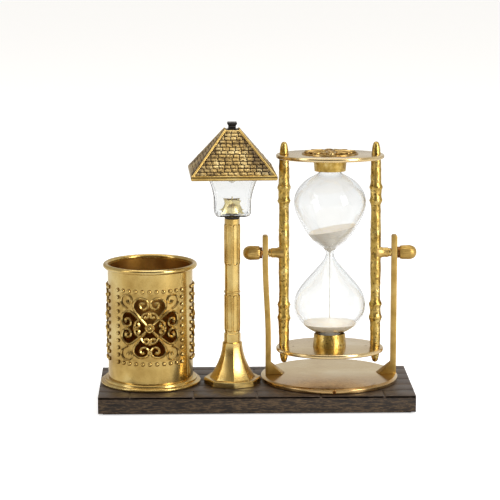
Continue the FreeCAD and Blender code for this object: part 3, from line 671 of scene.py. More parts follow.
def make_panel(open_work):
    """A third of the wall, made flat: sheet, raised scrolls and a frame of beads, then bent round. The front
    one is pierced between the scrolls."""
    arc = 2 * math.pi / 3 * (CUP_R - CUP_WALL / 2)
    centre = (wall_low + wall_high) / 2
    low, high = wall_low - centre - PATTERN_UP, wall_high - centre - PATTERN_UP
    sheet = slab("sheet", (-arc / 2, -CUP_WALL / 2, low), (arc / 2, CUP_WALL / 2, high), 0.0)
    soften(sheet, 0.16, lambda p, e: abs(p.x) > arc / 2 - 0.1 and p.y < 0 and abs(p.z - (low + high) / 2) < 1, 1)
    holes = [opening(points) for outline in (HEART_HOLE, PETAL_HOLE) for points in four_ways(outline)]
    plug = join("holes", holes)
    if open_work:
        cut(sheet, plug)
    else:
        bpy.data.objects.remove(plug)
    strips = []
    for quarter_outline in (LOBE, PETAL):
        for hand in both_hands(quarter_outline):
            strips += [strip("scroll", points, 0.82, 1.2, taper=True) for points in four_ways(hand)]
    strips += [strip("scroll", points, 0.8, 1.15) for points in four_ways(DIAGONAL)]
    strips.append(strip("ring", RING, 0.68, 1.15, closed=True))
    for hand in both_hands(CORNER):
        for upright in (1, -1):
            points = [(x, y * upright) for x, y in hand]
            strips.append(strip("scroll", points, 0.7, 1.0, taper=True))
    let_go()
    bpy.ops.mesh.primitive_uv_sphere_add(segments=12, ring_count=8, radius=1.42 * MM)
    bead = bpy.context.object
    bead.scale.y = 0.95
    settle()
    edit(bead)
    # the back half is pressed flat, so that it ends inside the wall and not in the cup
    pick(bead, "VERT", lambda p, v: p.y > 0.05)
    bpy.ops.transform.resize(value=(1, 0.4, 1), center_override=(0, 0, 0))
    bpy.ops.object.mode_set(mode="OBJECT")
    side, level = 22.9, 23.9
    spots = [(x * side / 5, z) for x in range(-5, 6) for z in (-level, level)]
    spots += [(x, z * level / 5) for x in (-side, side) for z in range(-4, 5)]
    beads = [place(copy_of(bead, "bead"), at=(x * MM, 0, z * MM)) for x, z in spots]
    bpy.data.objects.remove(bead)
    proud = join("relief", strips + beads + [place(copy_of(beads[0], "boss"), at=(-spots[0][0] * MM, 0,
                                                                                 -spots[0][1] * MM))])
    place(proud, at=(0, -(CUP_WALL / 2 + 0.1) * MM, 0))
    edit(proud)
    # backs that reach past the sheet end inside it, so that the cup stays smooth within
    back = CUP_WALL / 2 - 0.15
    pick(proud, "VERT", lambda p, v: p.y > back)
    bpy.ops.transform.resize(value=(1, 0, 1), center_override=(0, back * MM, 0))
    bpy.ops.object.mode_set(mode="OBJECT")
    panel = join("panel", [sheet, proud])
    edit(panel)
    # upright cuts every 1.2 millimetres let the sheet bend smoothly
    count = int(arc / 1.2)
    slice_at([(number / count - 0.5) * arc for number in range(1, count)], (1, 0, 0))
    slice_at((-WASH_HIGH, WASH_HIGH), (0, 0, 1))
    slice_at((-WASH_WIDE, WASH_WIDE), (1, 0, 0))
    bpy.ops.object.mode_set(mode="OBJECT")
    modify(panel, "SIMPLE_DEFORM", deform_method="BEND", deform_axis="Z", angle=2 * math.pi / 3)
    return place(panel, at=(0, -(CUP_R - CUP_WALL / 2) * MM, (centre + PATTERN_UP) * MM))


closed_panel = make_panel(False)
thirds = [make_panel(True), closed_panel, copy_of(closed_panel, "panel")]
for number, third in enumerate(thirds):
    third.name = f"cup_wall_{number + 1}"
    place(third, turn=(0, 0, number * 2 * math.pi / 3))
    for material in (cup_gold, inner_gold, wash_gold, painted_crease_shade):
        third.data.materials.append(material)
    third.name = f"cup_wall_{number + 1}"
    edit(third)
    angle = number * 2 * math.pi / 3 - math.pi / 2
    ahead = Vector((math.cos(angle), math.sin(angle), 0))
    pattern_z = (wall_low + wall_high) / 2 + PATTERN_UP
    paint(third, 2, lambda p, f: CUP_R - 0.2 < p.xy.length < CUP_R + 0.05
          and abs(p.z - pattern_z) < WASH_HIGH and p.xy.angle(ahead.xy) < WASH_WIDE / (CUP_R - CUP_WALL / 2))
    # painted shade at the foot of the scrolls and beads
    paint(third, 3, lambda p, f: CUP_R + 0.06 < p.xy.length < CUP_R + 0.62)
    paint(third, 1, lambda p, f: p.xy.length < CUP_R - CUP_WALL + 0.15)
    finish(place(third, at=CUP_AXIS), "base", "gold_bright", None, f"cup_panel_{number + 1}", smooth=45)

# ---------------------------------------------------------------- street lamp
# Four-sided and eight-sided forms are spun with four or eight steps, so a radius is measured to a corner.
TO_CORNER = math.sqrt(2)


def square_turn(piece):
    return place(piece, turn=(0, 0, math.pi / 4))


def is_corner(where, edge):
    """An edge that runs up or down between two flat sides."""
    run = edge.verts[1].co - edge.verts[0].co
    if len(edge.link_faces) != 2 or abs(run.z) < 0.25 * run.length:
        return False
    return edge.calc_face_angle(0) > math.radians(20)


slab_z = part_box("lamp_foot")[0].z / MM
trumpet = []
for level in range(13):
    rise = level / 12
    trumpet.append((6.6 + 8.6 * (1 - rise) ** 1.9, slab_z + 4.2 + rise * 23.4))
lamp_foot = lathe("lamp_foot_casting", [(0, slab_z), (18.5, slab_z), (18.8, slab_z + 0.4), (18.8, slab_z + 3.6),
                                        (18.3, slab_z + 4.2), (15.6, slab_z + 4.3)] + trumpet + [(0, slab_z + 27.6)], 8)
soften(lamp_foot, 0.35, is_corner, 2)
finish(in_lamp(lamp_foot), "base", "gold_bright", lamp_gold, "lamp_foot", smooth=20)

POST_R = 5.1
post_low, post_high = (corner.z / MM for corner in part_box("lamp_post"))


def flute_frame(low, high, half):
    """The raised outline of one flute, with round ends, as a cord lying in the XZ plane."""
    points = []
    for centre, start in ((high - half, 0), (low + half, math.pi)):
        for k in range(7):
            angle = start + k * math.pi / 6
            points.append((half * math.cos(angle), centre + half * math.sin(angle)))
    return points


post = lathe("lamp_post_shaft", [(0, post_low), (5.5, post_low), (5.6, post_low + 0.4), (5.6, 45.5), (5.2, 45.9),
                                 (POST_R, 46.0), (POST_R, 72.6), (5.5, 72.9), (5.5, 73.9), (POST_R, 74.2),
                                 (POST_R, post_high - 0.3), (4.8, post_high), (0, post_high)], 8)
soften(post, 0.25, is_corner, 2)
flat = POST_R * math.cos(math.pi / 8)
flutes = []
for low, high in ((47.2, 71.6), (91.7, 118.4)):
    master = strip("flute", flute_frame(low, high, 1.42), 0.3, 0.42, closed=True)
    for side in range(8):
        one = place(copy_of(master, "flute"), at=(0, -flat * MM, 0))
        flutes.append(place(one, turn=(0, 0, math.pi / 8 + side * math.pi / 4)))
    bpy.data.objects.remove(master)
post = join("lamp_post_shaft", [post] + flutes)
finish(in_lamp(post), "base", "gold_bright", lamp_gold, "lamp_post", smooth=30)

seat = lathe("shade_washer", [(0, 122.1), (4.9, 122.1), (4.95, 122.8), (4.0, 124.1), (0, 124.1)], 48, 0.15)
finish(in_lamp(seat), "base", "black_matte", seat_rubber, "lantern_seat")
neck = lathe("shade_neck_ring", [(0, 124.1), (2.75, 124.1), (2.8, 124.6), (2.75, 125.2), (0, 125.2)], 40, 0.1)
finish(in_lamp(neck), "base", "gold_bright", lamp_gold, "lantern_ring")


def shade_half(height):
    rise = max(0.0, height - 133.0) / 12.6
    return 10.9 + 2.4 * rise ** 1.7


shade_levels = [(9.3, 125.2), (10.3, 125.6), (10.9, 126.8), (10.9, 130.0)]
shade_levels += [(shade_half(133 + k * 18.2 / 8), 133 + k * 18.2 / 8) for k in range(9)]
shade = lathe("lantern_clear_shade", [(0, 125.2)] + [(half * TO_CORNER, z) for half, z in shade_levels], 4)
soften(shade, 2.2, is_corner, 5)
square_turn(shade)
modify(shade, "SOLIDIFY", thickness=0.9 * MM, offset=-1)
finish(in_lamp(shade), "base", "clear_glass", shade_glass, "lantern_shade", smooth=40)

# The burner cap: a small dome between four leaves that flare at the foot and stand up in points.
leaf_levels = [(11.4, 126.2), (9.2, 127.3), (7.4, 129.4), (6.6, 131.4), (6.9, 133.2), (8.0, 134.6)]
cap = lathe("burner_cap", [(0, 126.2)] + leaf_levels + [(0, 131.5)], 8)
edit(cap)
for corner_r, height in leaf_levels:
    pick(cap, "VERT", lambda p, v: abs(p.z - height) < 0.02 and p.xy.length > 1
         and abs(math.sin(2 * math.atan2(p.y, p.x))) < 0.1)
    share = 3.4 / corner_r
    bpy.ops.transform.resize(value=(share, share, 1), center_override=(0, 0, height * MM))
bpy.ops.object.mode_set(mode="OBJECT")
modify(cap, "BEVEL", width=0.12 * MM, segments=2)
dome = lathe("cap_dome", [(0, 126.2), (6.6, 126.2), (6.5, 127.6), (5.9, 129.6), (4.6, 131.6), (2.6, 133.0),
                          (0.6, 133.6),
                          (0.4, 135.4), (0.15, 136.6), (0, 136.6)], 32)
crown = join("burner_cap", [cap, dome])
finish(in_lamp(crown), "base", "gold_matte", crown_gold, "burner_crown", smooth=30)

EAVE_Z, ROOF_Z, EAVE_HALF, TOP_HALF = 153.6, 180.3, 26.9, 4.7
slope = math.atan2(EAVE_HALF - TOP_HALF, ROOF_Z - EAVE_Z)
slope_length = math.hypot(EAVE_HALF - TOP_HALF, ROOF_Z - EAVE_Z)
ground = lathe("roof_ground", [(EAVE_HALF * TO_CORNER, EAVE_Z - 1.0), (EAVE_HALF * TO_CORNER, EAVE_Z),
                               (TOP_HALF * TO_CORNER, ROOF_Z), (4.2, ROOF_Z)], 4)
square_turn(ground)
modify(ground, "SOLIDIFY", thickness=1.0 * MM, offset=-1)


def make_tiles():
    """One face of tiles: courses of worn bricks, trimmed along the hips."""
    course, length, gap = slope_length / 13, 4.4, 0.4
    tiles = []
    for number in range(13):
        up = number * course
        half = EAVE_HALF + 1 - up * math.sin(slope)
        left = -half - (number % 2) * length / 2 - length / 2
        while left < half:
            wide = length * random.uniform(0.82, 1.12)
            proud = random.uniform(0.45, 0.72)
            tile = slab("tile", (left + gap / 2, -proud, up + gap / 2 + random.uniform(-0.08, 0.08)),
                        (left + wide - gap / 2, 0.3, up + course - gap / 2), 0.36, 2)
            tiles.append(tile)
            left += wide
    face = join("tiles", tiles)
    edit(face)
    for side in (-1, 1):
        along = Vector((side * (TOP_HALF - EAVE_HALF), 0, slope_length)).normalized()
        outward = Vector((along.z * side, 0, -along.x * side))
        point = Vector((side * (EAVE_HALF - 1.9), 0, 0)) * MM
        bpy.ops.mesh.select_all(action="SELECT")
        bpy.ops.mesh.bisect(plane_co=point, plane_no=outward, clear_outer=True, use_fill=True)
    bpy.ops.object.mode_set(mode="OBJECT")
    return place(place(face, turn=(-slope, 0, 0)), at=(0, -EAVE_HALF * MM, EAVE_Z * MM))


tile_master = make_tiles()
tile_faces = [place(copy_of(tile_master, "tiles"), turn=(0, 0, k * math.pi / 2)) for k in range(4)]
bpy.data.objects.remove(tile_master)
eave_outline = [(26.2, 150.5), (27.0, 150.6), (27.6, 151.2), (27.8, 152.1), (27.6, 153.1), (27.0, 153.8),
                (26.1, 154.0), (24.9, 153.5), (24.6, 152.0), (24.9, 150.8), (26.2, 150.5)]
eave = square_turn(lathe("eave", [(r * TO_CORNER, z) for r, z in eave_outline], 4))
ribs = []
for quarter in range(4):
    c, s = math.cos(math.pi / 4 + quarter * math.pi / 2), math.sin(math.pi / 4 + quarter * math.pi / 2)
    low_r, high_r = 26.5 * TO_CORNER, (TOP_HALF - 0.3) * TO_CORNER
    ribs.append(bar_between("hip", (low_r * c, low_r * s, EAVE_Z - 0.6), (high_r * c, high_r * s, ROOF_Z - 0.1), 1.0))
platform_outline = [(4.25, 178.6), (TOP_HALF * TO_CORNER + 0.8, 179.0), (TOP_HALF * TO_CORNER + 1.0, 179.8),
                    (TOP_HALF * TO_CORNER + 0.3, 180.3), (4.25, 180.3), (4.25, 178.6)]
platform = square_turn(lathe("platform", platform_outline, 4))
bright_parts = join("roof_trim", [eave, platform] + ribs)
bright_parts.data.materials.append(lamp_gold)
ground.data.materials.append(roof_mortar())
for face in tile_faces:
    face.data.materials.clear()
    face.data.materials.append(tile_gold)
roof = join("lantern_tiled_roof", [ground, bright_parts] + tile_faces)
finish(in_lamp(roof), "base", "gold_antique", None, "lantern_roof", smooth=40)

button = lathe("roof_knob", [(0, 175.1), (5.05, 175.1), (5.05, 176.0), (4.15, 176.0), (4.15, 180.2), (0, 180.2)], 48)
head_levels = [(2.95, 180.0), (2.95, 180.6), (2.5, 181.6), (2.35, 182.4), (2.6, 183.2), (3.15, 183.9), (3.2, 184.5),
               (2.9, 185.1)]
head = lathe("knob_head", [(0, 180.0)] + [(half * TO_CORNER, z) for half, z in head_levels] + [(0, 184.7)], 4)
soften(head, 0.5, is_corner, 3)
square_turn(head)
button = join("roof_knob", [button, head])
finish(in_lamp(button), "button", "black_gloss", knob_black, "push_button", smooth=30)

# ---------------------------------------------------------------- hourglass stand
disc_low, disc_high = (corner.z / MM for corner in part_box("stand_disc"))
stand_disc = lathe("stand_plate", [(0, disc_low), (44.9, disc_low), (45.4, disc_low + 0.5), (45.4, disc_low + 2.5),
                                   (45.0, disc_low + 3.0), (44.3, disc_low + 3.1), (43.9, disc_high - 0.1),
                                   (43.2, disc_high), (0, disc_high)], 160, 0.2)
hole = bar_between("hole", (0.6, -47, disc_low + 1.7), (0.6, -43.0, disc_low + 1.7), 1.25, 24)
cut(stand_disc, hole)
finish(place(stand_disc, at=STAND_AXIS), "base", "gold_satin", stand_gold, "stand_disc", smooth=30)

ARM_INNER, ARM_OUTER, ARM_DEPTH = 40.7, 44.3, 6.5
BOW_LOW, BOW_HIGH = 38.0, 92.0
arm_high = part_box("stand_arm_right")[1].z / MM


def make_arm(bow):
    """The right arm about the stand's axis, bowed inwards by a few millimetres low down, with its sloping foot."""
    arm = slab("arm", (ARM_INNER, -ARM_DEPTH / 2, disc_high), (ARM_OUTER, ARM_DEPTH / 2, arm_high), 0.0)
    edit(arm)
    slice_at([disc_high + 7.6 + k * 5.2 for k in range(16)], (0, 0, 1))
    heights = sorted({round(vertex.co.z / MM, 2) for vertex in bmesh.from_edit_mesh(arm.data).verts})
    pick(arm, "FACE", lambda p, f: abs(p.x - ARM_INNER) < 0.01 and p.z < disc_high + 7.6)
    bpy.ops.mesh.extrude_region_move(TRANSFORM_OT_translate={"value": (-7.6 * MM, 0, 0)})
    pick(arm, "VERT", lambda p, v: p.x < ARM_INNER - 5 and p.z > disc_high + 5)
    bpy.ops.transform.translate(value=(0, 0, -7.3 * MM))
    pick(arm, "VERT", lambda p, v: p.x < ARM_INNER - 5 and p.y > 0)
    bpy.ops.transform.translate(value=(-1.6 * MM, 0, 0))
    for height in heights if bow else []:
        share = min(1.0, max(0.0, (BOW_HIGH - height) / (BOW_HIGH - BOW_LOW)))
        pick(arm, "VERT", lambda p, v: abs(p.z - height) < 0.4)
        bpy.ops.transform.translate(value=(-bow * share * share * (3 - 2 * share) * MM, 0, 0))
    pick(arm, "EDGE", lambda p, e: p.z > arm_high - 0.1 and abs(e.verts[0].co.x - e.verts[1].co.x) < 1e-6)
    bpy.ops.mesh.bevel(offset=1.2 * MM, segments=5)
    bpy.ops.mesh.select_all(action="SELECT")
    bpy.ops.mesh.remove_doubles(threshold=0.002 * MM)
    pick(arm, "EDGE", lambda p, e: len(e.link_faces) == 2 and e.calc_face_angle(0) > math.radians(40))
    bpy.ops.mesh.bevel(offset=0.35 * MM, segments=2)
    bpy.ops.object.mode_set(mode="OBJECT")
    return arm


arm_right = make_arm(0.0)
arm_bowed = make_arm(2.0)
arm_left = mirrored(arm_bowed, "arm_left")
bpy.data.objects.remove(arm_bowed)
for arm, side in ((arm_right, "right"), (arm_left, "left")):
    arm.name = "stand_bar_" + side
    finish(place(arm, at=STAND_AXIS), "base", "gold_matte", arm_gold, "stand_arm_" + side, smooth=25)

# ---------------------------------------------------------------- hourglass cage, drawn about its pivot
DISC_IN, DISC_OUT = 62.5, 65.1
plate = lathe("plate", [(0, DISC_IN), (34.9, DISC_IN), (35.4, DISC_IN + 0.4), (35.5, DISC_IN + 1.3),
                        (35.4, DISC_OUT - 0.4), (34.9, DISC_OUT), (0, DISC_OUT)], 128, 0.15)
for side in (-1, 1):
    dimple = bar_between("dimple", (side * 24, 0, DISC_IN - 1), (side * 24, 0, DISC_IN + 0.6), 0.8, 16)
    cut(plate, dimple)
finish(in_cage(upside_down(plate, "cage_plate_bottom")), "cage", "gold_satin", disc_gold, "cage_disc_bottom", smooth=30)
plate.name = "cage_plate_top"
finish(in_cage(plate), "cage", "gold_satin", disc_gold, "cage_disc_top", smooth=30)


def post_radius(height):
    """Two rings near each end with a fuller stretch between them, and a slow swelling elsewhere."""
    h = abs(height)
    ring = math.exp(-((h - 34.1) / 1.5) ** 2) + math.exp(-((h - 43.5) / 1.5) ** 2)
    between = 0.25 if 34.1 < h < 43.5 else 0.0
    return 3.4 + 0.9 * min(1.0, ring) + between + 0.15 * math.sin(h / 6.0)


dents = bpy.data.textures.new("hammer_dents", "CLOUDS")
dents.noise_scale = 2.6 * MM
dents.noise_depth = 2
for side, name in ((1, "right"), (-1, "left")):
    heights = [-DISC_IN + k * 2 * DISC_IN / 125 for k in range(126)]
    cage_post = lathe("cage_bamboo_post_" + name, [(0, -DISC_IN)] + [(post_radius(h), h) for h in heights]
                      + [(0, DISC_IN)], 36)
    place(cage_post, at=(side * 30.2 * MM, 0, 0))
    modify(cage_post, "DISPLACE", texture=dents, strength=0.6 * MM, mid_level=0.5, texture_coords="LOCAL")
    finish(in_cage(cage_post), "cage", "gold_antique", post_gold, "cage_post_" + name, smooth=80)

nut = lathe("nut", [(0, DISC_OUT), (3.0, DISC_OUT), (3.1, DISC_OUT + 0.5), (2.85, DISC_OUT + 1.1),
                    (2.75, DISC_OUT + 3.2),
                    (2.4, DISC_OUT + 5.2), (1.9, DISC_OUT + 6.9), (1.3, DISC_OUT + 7.8), (0, DISC_OUT + 8.2)], 32, 0.2)
nuts = []
for side in (-1, 1):
    upper = place(copy_of(nut, "nut"), at=(side * 30.2 * MM, 0, 0))
    nuts += [upper, upside_down(upper, "nut")]
bpy.data.objects.remove(nut)
finish(in_cage(join("cage_cap_nuts", nuts)), "cage", "gold_bright", post_gold, "finials", smooth=60)

collar = lathe("collar_cup_top", [(9.7, 53.9), (10.15, 53.9), (10.3, 54.3), (11.0, DISC_IN), (10.4, DISC_IN),
                                  (9.75, 54.6), (9.7, 53.9)], 96)
finish(in_cage(upside_down(collar, "collar_cup_bottom")), "cage", "gold_bright", post_gold, "collar_bottom", smooth=50)
finish(in_cage(collar), "cage", "gold_bright", collar_gold, "collar_top", smooth=50)


def leaf_outline(length, width):
    """One pointed leaf, as a closed cord that starts and ends at its foot."""
    return [(0, 0), (-width, length * 0.3), (-width * 0.8, length * 0.7), (0, length), (width * 0.8, length * 0.7),
            (width, length * 0.3)]


rim = lathe("medallion_rim", [(17.4, DISC_OUT), (18.6, DISC_OUT), (18.6, DISC_OUT + 0.6), (18.2, DISC_OUT + 1.0),
                              (17.4, DISC_OUT + 0.9), (17.4, DISC_OUT)], 96)
boss = lathe("medallion_boss", [(0, DISC_OUT), (3.6, DISC_OUT), (3.6, DISC_OUT + 1.0), (2.4, DISC_OUT + 2.0),
                                (0, DISC_OUT + 2.3)], 32, 0.2)
leaves = []
for number in range(8):
    leaf = strip("leaf", [(x, y + 3.4) for x, y in leaf_outline(14.0, 3.4)], 0.7, 1.15, closed=True)
    vein = strip("vein", [(0, 4), (0.4, 8), (-0.3, 12), (0, 15.5)], 0.55, 1.1)
    curl = strip("curl", [(3.6, 16.2), (6.0, 14.4), (6.8, 11.6), (5.0, 10.2), (3.9, 11.8), (4.9, 12.8)], 0.6, 1.0)
    one = join("leaf", [leaf, vein, curl])
    place(one, turn=(-math.pi / 2, 0, 0))
    place(one, turn=(0, 0, number * math.pi / 4), at=(0, 0, (DISC_OUT + 1.05) * MM))
    leaves.append(one)
backing = lathe("medallion_back", [(0, DISC_OUT), (17.5, DISC_OUT), (17.5, DISC_OUT + 0.5), (0, DISC_OUT + 0.5)], 64)
medallion = join("medallion_scroll_top", [rim, boss, backing] + leaves)
finish(in_cage(upside_down(medallion, "medallion_scroll_bottom")), "cage", "gold_antique", leaf_gold,
       "medallion_bottom", smooth=50)
finish(in_cage(medallion), "cage", "gold_antique", leaf_gold, "medallion_top", smooth=50)

# Outer line of the two blown bulbs, as (radius, height) above or below the neck.
UPPER_BULB = [(2.2, 0), (3.4, 2.2), (5.4, 3.7), (8.0, 5.3), (11.4, 8.3), (15.0, 12.5), (17.8, 17.0), (20.7, 22.5),
              (22.8, 27.2), (23.85, 31.6), (23.9, 34.6), (22.8, 39.3), (20.9, 42.7), (17.6, 46.4), (14.4, 49.0),
              (11.0, 50.8), (8.6, 51.9), (7.3, 53.0), (6.9, 54.4), (6.9, 60.4), (6.3, 61.0)]
LOWER_BULB = [(2.2, 0), (3.1, -3.0), (4.4, -5.4), (6.2, -7.6), (8.6, -10.2), (13.1, -15.3), (17.8, -20.6),
              (21.5, -25.6), (23.3, -30.2), (23.85, -34.4), (23.3, -39.2), (21.35, -43.3), (18.2, -47.4), (15.0, -50.0),
              (11.6, -52.0), (8.8, -53.0), (7.3, -53.9), (6.9, -55.4), (6.9, -60.4), (6.3, -61.0)]


def inset_line(points, by):
    """The same line moved inwards, square to its run."""
    moved_line = []
    for number, point in enumerate(points):
        before, after = points[max(0, number - 1)], points[min(len(points) - 1, number + 1)]
        run = Vector((after[0] - before[0], after[1] - before[1])).normalized()
        side = 1 if points[-1][1] > 0 else -1
        moved_line.append((point[0] - run.y * by * side, point[1] + run.x * by * side))
    return moved_line


outer_line = [(0, -61.0)] + LOWER_BULB[::-1] + UPPER_BULB[1:] + [(0, 61.0)]
inner_upper = [(0.9, 0)] + [(r, h) for r, h in inset_line(UPPER_BULB, 0.9)[1:-2] if r > 0.9]
inner_lower = [(0.9, 0)] + [(r, h) for r, h in inset_line(LOWER_BULB, 0.9)[1:-2] if r > 0.9]
inner_line = [(0, -60.0), (5.9, -60.0)] + inner_lower[::-1] + inner_upper[1:] + [(5.9, 60.0), (0, 60.0)]


def make_vessel():
    """Two shells: the outer one, and the inner one turned inside out as the wall's other face."""
    shells = []
    for line in (outer_line, inner_line):
        shell = lathe("shell", line, 96)
        modify(shell, "SUBSURF", levels=1, render_levels=1)
        shells.append(shell)
    edit(shells[1])
    bpy.ops.mesh.flip_normals()
    bpy.ops.object.mode_set(mode="OBJECT")
    return join("hourglass_bulbs", shells)


vessel = make_vessel()
finish(in_cage(vessel), "cage", "clear_glass", bulb_glass, "glass_vessel", smooth=80)

fill_upper = [(r, h) for r, h in inset_line(UPPER_BULB, 1.0)[2:6] if r > 0.6]
slope_rings = [(16.0, 15.7), (14.4, 15.3), (11.6, 14.6), (8.4, 13.8), (5.0, 13.3), (2.2, 13.1), (0, 13.0)]


def lit_from_above(sand):
    """Painted light and shade on one heap of sand: the sides get the shaded finish, the level top the lit one."""
    sand.data.materials.append(painted_shaded_sand)
    sand.data.materials.append(painted_lit_sand)
    edit(sand)
    paint(sand, 1, lambda p, f: f.normal.z > 0.5)
    bpy.ops.object.mode_set(mode="OBJECT")
    return sand


sand_top = lathe("sand_in_upper_bulb", [(0, 0.2), (0.55, 0.2)] + fill_upper + slope_rings, 96)
edit(sand_top)
pick(sand_top, "VERT", lambda p, v: p.z > 12.8)
bpy.ops.transform.rotate(value=math.radians(10.5), orient_axis="Y", center_override=(0, 0, 15.6 * MM))
bpy.ops.transform.translate(value=(1.4 * MM, 0, 0))
bpy.ops.object.mode_set(mode="OBJECT")
finish(in_cage(lit_from_above(sand_top)), "cage", "sand", None, "sand_upper", smooth=60)

fill_lower = [(r, h) for r, h in inset_line(LOWER_BULB, 1.0)[12:-2]]
heap = [(0, -44.1), (2.5, -44.4), (6.0, -45.2), (10.0, -46.1), (14.0, -46.8), (fill_lower[0][0] + 0.9, -47.0)]
sand_low = lathe("sand_in_lower_bulb", heap + fill_lower[1:] + [(5.8, -59.9), (0, -59.9)], 96)
finish(in_cage(lit_from_above(sand_low)), "cage", "sand", None, "sand_lower", smooth=60)
stream = lathe("sand_thread", [(0, -44.2), (0.36, -44.2), (0.22, -38.0), (0.16, -20.0), (0.22, -4.0), (0.5, 0.15),
                               (0, 0.15)], 12)
finish(in_cage(stream), "cage", "sand", painted_shaded_sand, "sand_stream", smooth=60)


def along_x(piece):
    """Lays a piece that is drawn up the Z axis out along X."""
    return place(piece, turn=(0, math.pi / 2, 0))


def ribbed(piece, low, high, share):
    """Sinks every other line of vertices between two heights, for fine flutes."""
    edit(piece)
    pick(piece, "VERT", lambda p, v: low < p.z < high and p.xy.length > 2
         and round(math.atan2(p.y, p.x) / (2 * math.pi) * 64) % 4 == 0)
    bpy.ops.transform.resize(value=(share, share, 1), center_override=(0, 0, 0))
    bpy.ops.object.mode_set(mode="OBJECT")
    return piece


knob = lathe("knob", [(1.65, 46.2), (4.1, 46.2), (4.45, 46.7), (4.6, 48.0), (4.75, 52.4), (4.6, 53.4), (4.1, 54.9),
                      (3.1, 56.2), (1.7, 57.0), (0, 57.2)], 64)
ribbed(knob, 46.6, 52.6, 0.95)
boss = lathe("boss", [(0, 30.5), (4.3, 30.5), (4.1, 33.2), (3.45, 34.4), (3.2, 35.6), (3.25, 38.3), (3.0, 38.6),
                      (0, 38.6)], 40)
boss = join("boss", [boss, lathe("pin", [(0, 38.0), (1.6, 38.0), (1.6, 50.0), (0, 50.0)], 32)])
spacer = lathe("spacer", [(1.65, 38.6), (2.7, 38.6), (2.8, 39.0), (2.8, 39.9), (2.7, 40.3), (1.65, 40.3),
                          (1.65, 38.6)], 40)
washer = lathe("washer", [(1.65, 44.6), (3.6, 44.6), (3.75, 44.9), (3.75, 45.8), (3.6, 46.2), (1.65, 46.2),
                          (1.65, 44.6)], 48)
for piece, name, node_name, slot_name, material in (
        (knob, "pivot_dome_knob", "pivot_knob", "gold_bright", arm_gold),
        (boss, "pivot_boss", "trunnion", "gold_bright", arm_gold),
        (spacer, "pivot_inner_ring", "pivot_spacer", "copper_ring", lamp_gold),
        (washer, "pivot_outer_ring", "pivot_washer", "copper_ring", ring_copper)):
    along_x(piece)
    left = mirrored(piece, name + "_left")
    piece.name = name + "_right"
    finish(in_cage(left), "cage", slot_name, material, node_name + "_left", smooth=40)
    finish(in_cage(piece), "cage", slot_name, material, node_name + "_right", smooth=40)

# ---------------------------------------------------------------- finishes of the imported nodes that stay
KEPT = {"felt_sheet": felt_fibre, "plinth_screws": screw_steel, "cup_floor": lamp_gold, "lamp_tie_rod": screw_steel,
        "roof_ceiling": arm_gold, "light_case": seat_rubber, "button_cells": screw_steel, "light_diode": lens_epoxy,
        "snap_dome": screw_steel, "arm_screws": screw_steel, "edge_grub_screw": ring_copper,
        "cork_pad_top": cork_crumbs, "cork_pad_bottom": cork_crumbs}
for name, material in KEPT.items():
    kept = frame["nodes"][name]
    for spot in kept.material_slots:
        spot.material = material

# ---------------------------------------------------------------- floor, light and camera
let_go()
bpy.ops.mesh.primitive_plane_add(size=24, location=(0, 6, 0))
floor = bpy.context.object
floor.name = "studio_floor"
floor_paint, floor_tree, floor_shader = new_material("matte_white_floor", Roughness=0.9)
floor_shader.inputs["Base Color"].default_value = (0.9, 0.9, 0.9, 1)
floor_shader.inputs["Specular IOR Level"].default_value = 0.1
FLOOR_LIFT = 0.5
straight = either_ray(floor_tree, "Camera", "Transmission")
lift = node(floor_tree, "ShaderNodeMath", {0: straight, 1: FLOOR_LIFT}, operation="MULTIPLY")
floor_tree.links.new(lift.outputs[0], floor_shader.inputs["Emission Strength"])
floor_shader.inputs["Emission Color"].default_value = (1, 1, 1, 1)
floor.data.materials.append(floor_paint)

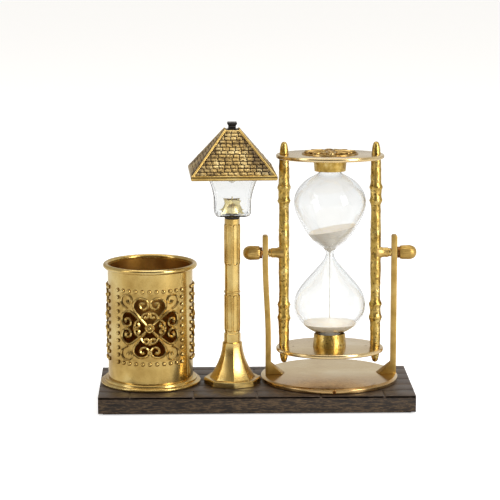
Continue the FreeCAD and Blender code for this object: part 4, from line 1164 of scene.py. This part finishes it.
world = bpy.data.worlds.new("soft_studio")
bpy.context.scene.world = world
world.use_nodes = True
sky = world.node_tree
sky.nodes.clear()
toward = node(sky, "ShaderNodeTexCoord").outputs["Generated"]
split = node(sky, "ShaderNodeSeparateXYZ", {"Vector": toward})
height_tone = stops(node(sky, "ShaderNodeValToRGB", {"Fac": split.outputs["Z"]}),
                    (0.0, "#FFFFFF"), (0.35, "#E6E6E6"), (0.6, "#B4B4B4"), (1.0, "#FAFAFA"))
front_tone = stops(node(sky, "ShaderNodeValToRGB", {
    "Fac": node(sky, "ShaderNodeMapRange", {"Value": split.outputs["Y"], "From Min": -1.0,
                                            "From Max": 0.6}).outputs["Result"]}),
    (0.0, "#6E665A"), (0.22, "#948C80"), (0.6, "#DCDAD4"), (1.0, "#FFFFFF"))
side_tone = stops(node(sky, "ShaderNodeValToRGB", {
    "Fac": node(sky, "ShaderNodeMapRange", {"Value": split.outputs["X"], "From Min": -1.0,
                                            "From Max": 1.0}).outputs["Result"]}),
    (0.0, "#D8D2C8"), (0.3, "#B8B2A8"), (0.62, "#E6E4E0"), (1.0, "#FFFFFF"))
two_tones = node(sky, "ShaderNodeMix", {"Factor": 1.0, 6: height_tone.outputs["Color"],
                                        7: front_tone.outputs["Color"]}, data_type="RGBA", blend_type="MULTIPLY")
all_tones = node(sky, "ShaderNodeMix", {"Factor": 1.0, 6: two_tones.outputs[2], 7: side_tone.outputs["Color"]},
                 data_type="RGBA", blend_type="MULTIPLY")
BACKDROP_WHITE = (1.1, 1.1, 1.1, 1)
tone = node(sky, "ShaderNodeMix", {"Factor": either_ray(sky, "Camera", "Transmission"), 6: all_tones.outputs[2],
                                   7: BACKDROP_WHITE}, data_type="RGBA")
glow = node(sky, "ShaderNodeBackground", {"Color": tone.outputs[2], "Strength": 1.0})
node(sky, "ShaderNodeOutputWorld", {"Surface": glow.outputs["Background"]})


def softbox(name, at, aim, size, power):
    """A soft rectangular studio light, aimed at a point."""
    light = bpy.data.lights.new(name, "AREA")
    light.shape = "RECTANGLE"
    light.size, light.size_y = size
    light.energy = power
    lamp = put(name, light)
    lamp.location = at
    lamp.rotation_euler = (Vector(aim) - Vector(at)).to_track_quat("-Z", "Y").to_euler()


softbox("overhead", (0, 0.1, 1.5), (0, 0, 0), (1.6, 1.2), 10)
softbox("left_window", (-1.3, -0.7, 0.7), (0, 0, 0.08), (0.5, 1.2), 4)
softbox("right_window", (1.1, -1.0, 0.6), (0, 0, 0.08), (0.5, 1.1), 15)
wash = bpy.data.lights.new("wide_wash", "SUN")
wash.energy = 0.5
wash.angle = math.radians(150)
put("wide_wash", wash)

camera_data = bpy.data.cameras.new("studio_camera")
camera_data.sensor_width = 36
camera_data.lens = 158.4
camera = put("studio_camera", camera_data)
camera.location = (-0.0419, -1.4169, 0.3583)
camera.rotation_euler = (math.radians(90 - 10.32), 0, math.radians(-1.55))
bpy.context.scene.camera = camera
bpy.context.scene.view_settings.view_transform = "Standard"
